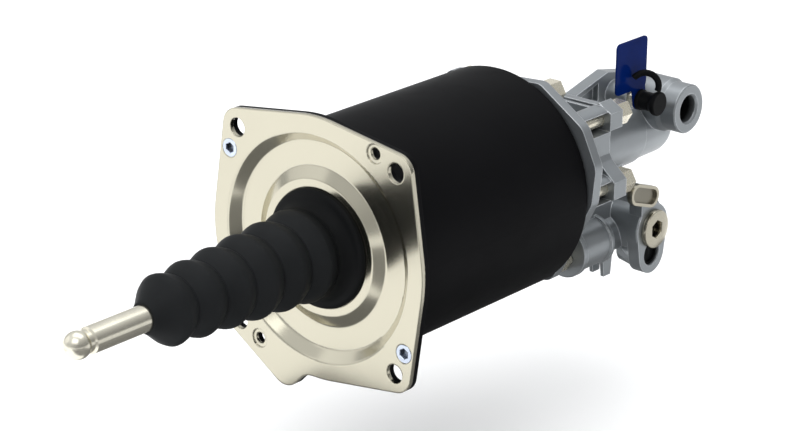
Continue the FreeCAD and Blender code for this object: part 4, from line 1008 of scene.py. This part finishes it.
def area_light(name, place, size, power):
    lamp = bpy.data.lights.new(name, "AREA")
    lamp.shape = "RECTANGLE"
    lamp.size, lamp.size_y = size
    lamp.energy = power
    held = bpy.data.objects.new(name, lamp)
    bpy.context.scene.collection.objects.link(held)
    held.location = place
    held.rotation_euler = (LIGHT_AIM - Vector(place)).to_track_quat("-Z", "Y").to_euler()


def sky(tree, parts, tint, left, right, above):
    """Studio light from all round, weaker to +X and stronger from above."""
    sideways = node(
        tree,
        "ShaderNodeMapRange",
        {"Value": parts.outputs["X"], "From Min": -0.1, "From Max": 0.7, "To Min": left, "To Max": right},
    )
    upward = node(
        tree,
        "ShaderNodeMapRange",
        {"Value": parts.outputs["Z"], "From Min": 0.15, "From Max": 0.8, "To Max": above},
    )
    strength = calculate(tree, "ADD", sideways.outputs["Result"], upward.outputs["Result"])
    return node(tree, "ShaderNodeBackground", {"Color": (*tint, 1.0), "Strength": strength}).outputs[0]


def choose(tree, test, otherwise, chosen):
    """The chosen light where the test is 1, and the other where it is 0."""
    return node(tree, "ShaderNodeMixShader", {"Fac": test, 1: otherwise, 2: chosen}).outputs["Shader"]


def studio_sky():
    """White to the camera, and two soft skies: one lights the surfaces and one shows in reflections."""
    world = bpy.data.worlds.new("studio")
    bpy.context.scene.world = world
    world.use_nodes = True
    tree = world.node_tree
    tree.nodes.clear()
    around = tree.nodes.new("ShaderNodeTexCoord").outputs["Generated"]
    parts = node(tree, "ShaderNodeSeparateXYZ", {"Vector": around})
    soft = sky(tree, parts, (0.98, 0.99, 1.0), left=0.62, right=0.37, above=0.75)
    mirrored = sky(tree, parts, (0.97, 0.985, 1.0), left=0.55, right=0.22, above=0.30)
    white = node(tree, "ShaderNodeBackground", {"Color": (1.0, 1.0, 1.0, 1.0)}).outputs[0]
    path = tree.nodes.new("ShaderNodeLightPath").outputs
    lit = choose(tree, path["Is Glossy Ray"], soft, mirrored)
    seen = choose(tree, path["Is Camera Ray"], lit, white)
    node(tree, "ShaderNodeOutputWorld", {"Surface": seen})


def studio_camera():
    scene = bpy.context.scene
    camera = bpy.data.cameras.new("camera")
    camera.lens = CAMERA_LENS
    camera.sensor_width = SENSOR_WIDTH
    camera.clip_end = VIEW_DEPTH
    eye = bpy.data.objects.new("camera", camera)
    scene.collection.objects.link(eye)
    eye.location = CAMERA_PLACE
    eye.rotation_euler = CAMERA_TURN
    scene.camera = eye
    scene.view_settings.view_transform = "Standard"
    scene.view_settings.look = "None"


class SERVO_OT_stage(bpy.types.Operator):
    """Set the pale floor, the soft lights and the camera"""

    bl_idname = "servo.stage"
    bl_label = "Studio"

    def execute(self, context):
        low = CAD_BOX[0][2] - sizes().floor_drop
        lifted = low + CARD_LIFT
        floor = studio_floor(low)
        black = card("black_card", BLACK_CARD, plain("card_black", 0.08))
        grey = card("grey_card", [(x, y, lifted) for x, y in GREY_CARD], plain("card_grey", 0.20))
        pale = card("pale_card", [(x, y, lifted) for x, y in PALE_CARD], plain("card_pale", 0.66))
        studio_sky()
        area_light("key", (0.6, -1.3, 1.8), size=(1.6, 1.4), power=9.0)
        area_light("fill", (-1.6, -0.9, 0.8), size=(1.6, 1.2), power=2.5)
        area_light("top", (-0.2, 0.5, 2.0), size=(2.2, 1.4), power=10.0)
        studio_camera()
        return {"FINISHED"}


class SERVO_PT_panel(bpy.types.Panel):
    """Lists the steps that build the servo's looks, with its sizes and colours"""

    bl_idname = "SERVO_PT_panel"
    bl_label = "Clutch Servo"
    bl_space_type = "VIEW_3D"
    bl_region_type = "UI"
    bl_category = "Servo"

    def draw(self, context):
        for step in STEPS:
            self.layout.operator(step.bl_idname)
        for group in (sizes(), colours()):
            box = self.layout.box()
            for name in group.__annotations__:
                box.prop(group, name)


STEPS = (
    SERVO_OT_gaiter,
    SERVO_OT_screws,
    SERVO_OT_plug,
    SERVO_OT_springs,
    SERVO_OT_front,
    SERVO_OT_inside,
    SERVO_OT_housing,
    SERVO_OT_bleed,
    SERVO_OT_stage,
)
CLASSES = (ServoSizes, ServoColours, *STEPS, SERVO_PT_panel)


def register():
    for cls in CLASSES:
        bpy.utils.register_class(cls)
    bpy.types.Scene.servo_sizes = bpy.props.PointerProperty(type=ServoSizes)
    bpy.types.Scene.servo_colours = bpy.props.PointerProperty(type=ServoColours)


def unregister():
    del bpy.types.Scene.servo_colours
    del bpy.types.Scene.servo_sizes
    for cls in reversed(CLASSES):
        bpy.utils.unregister_class(cls)


def main():
    register()
    for step in STEPS:
        group, name = step.bl_idname.split(".")
        getattr(getattr(bpy.ops, group), name)()


if __name__ == "__main__":
    main()
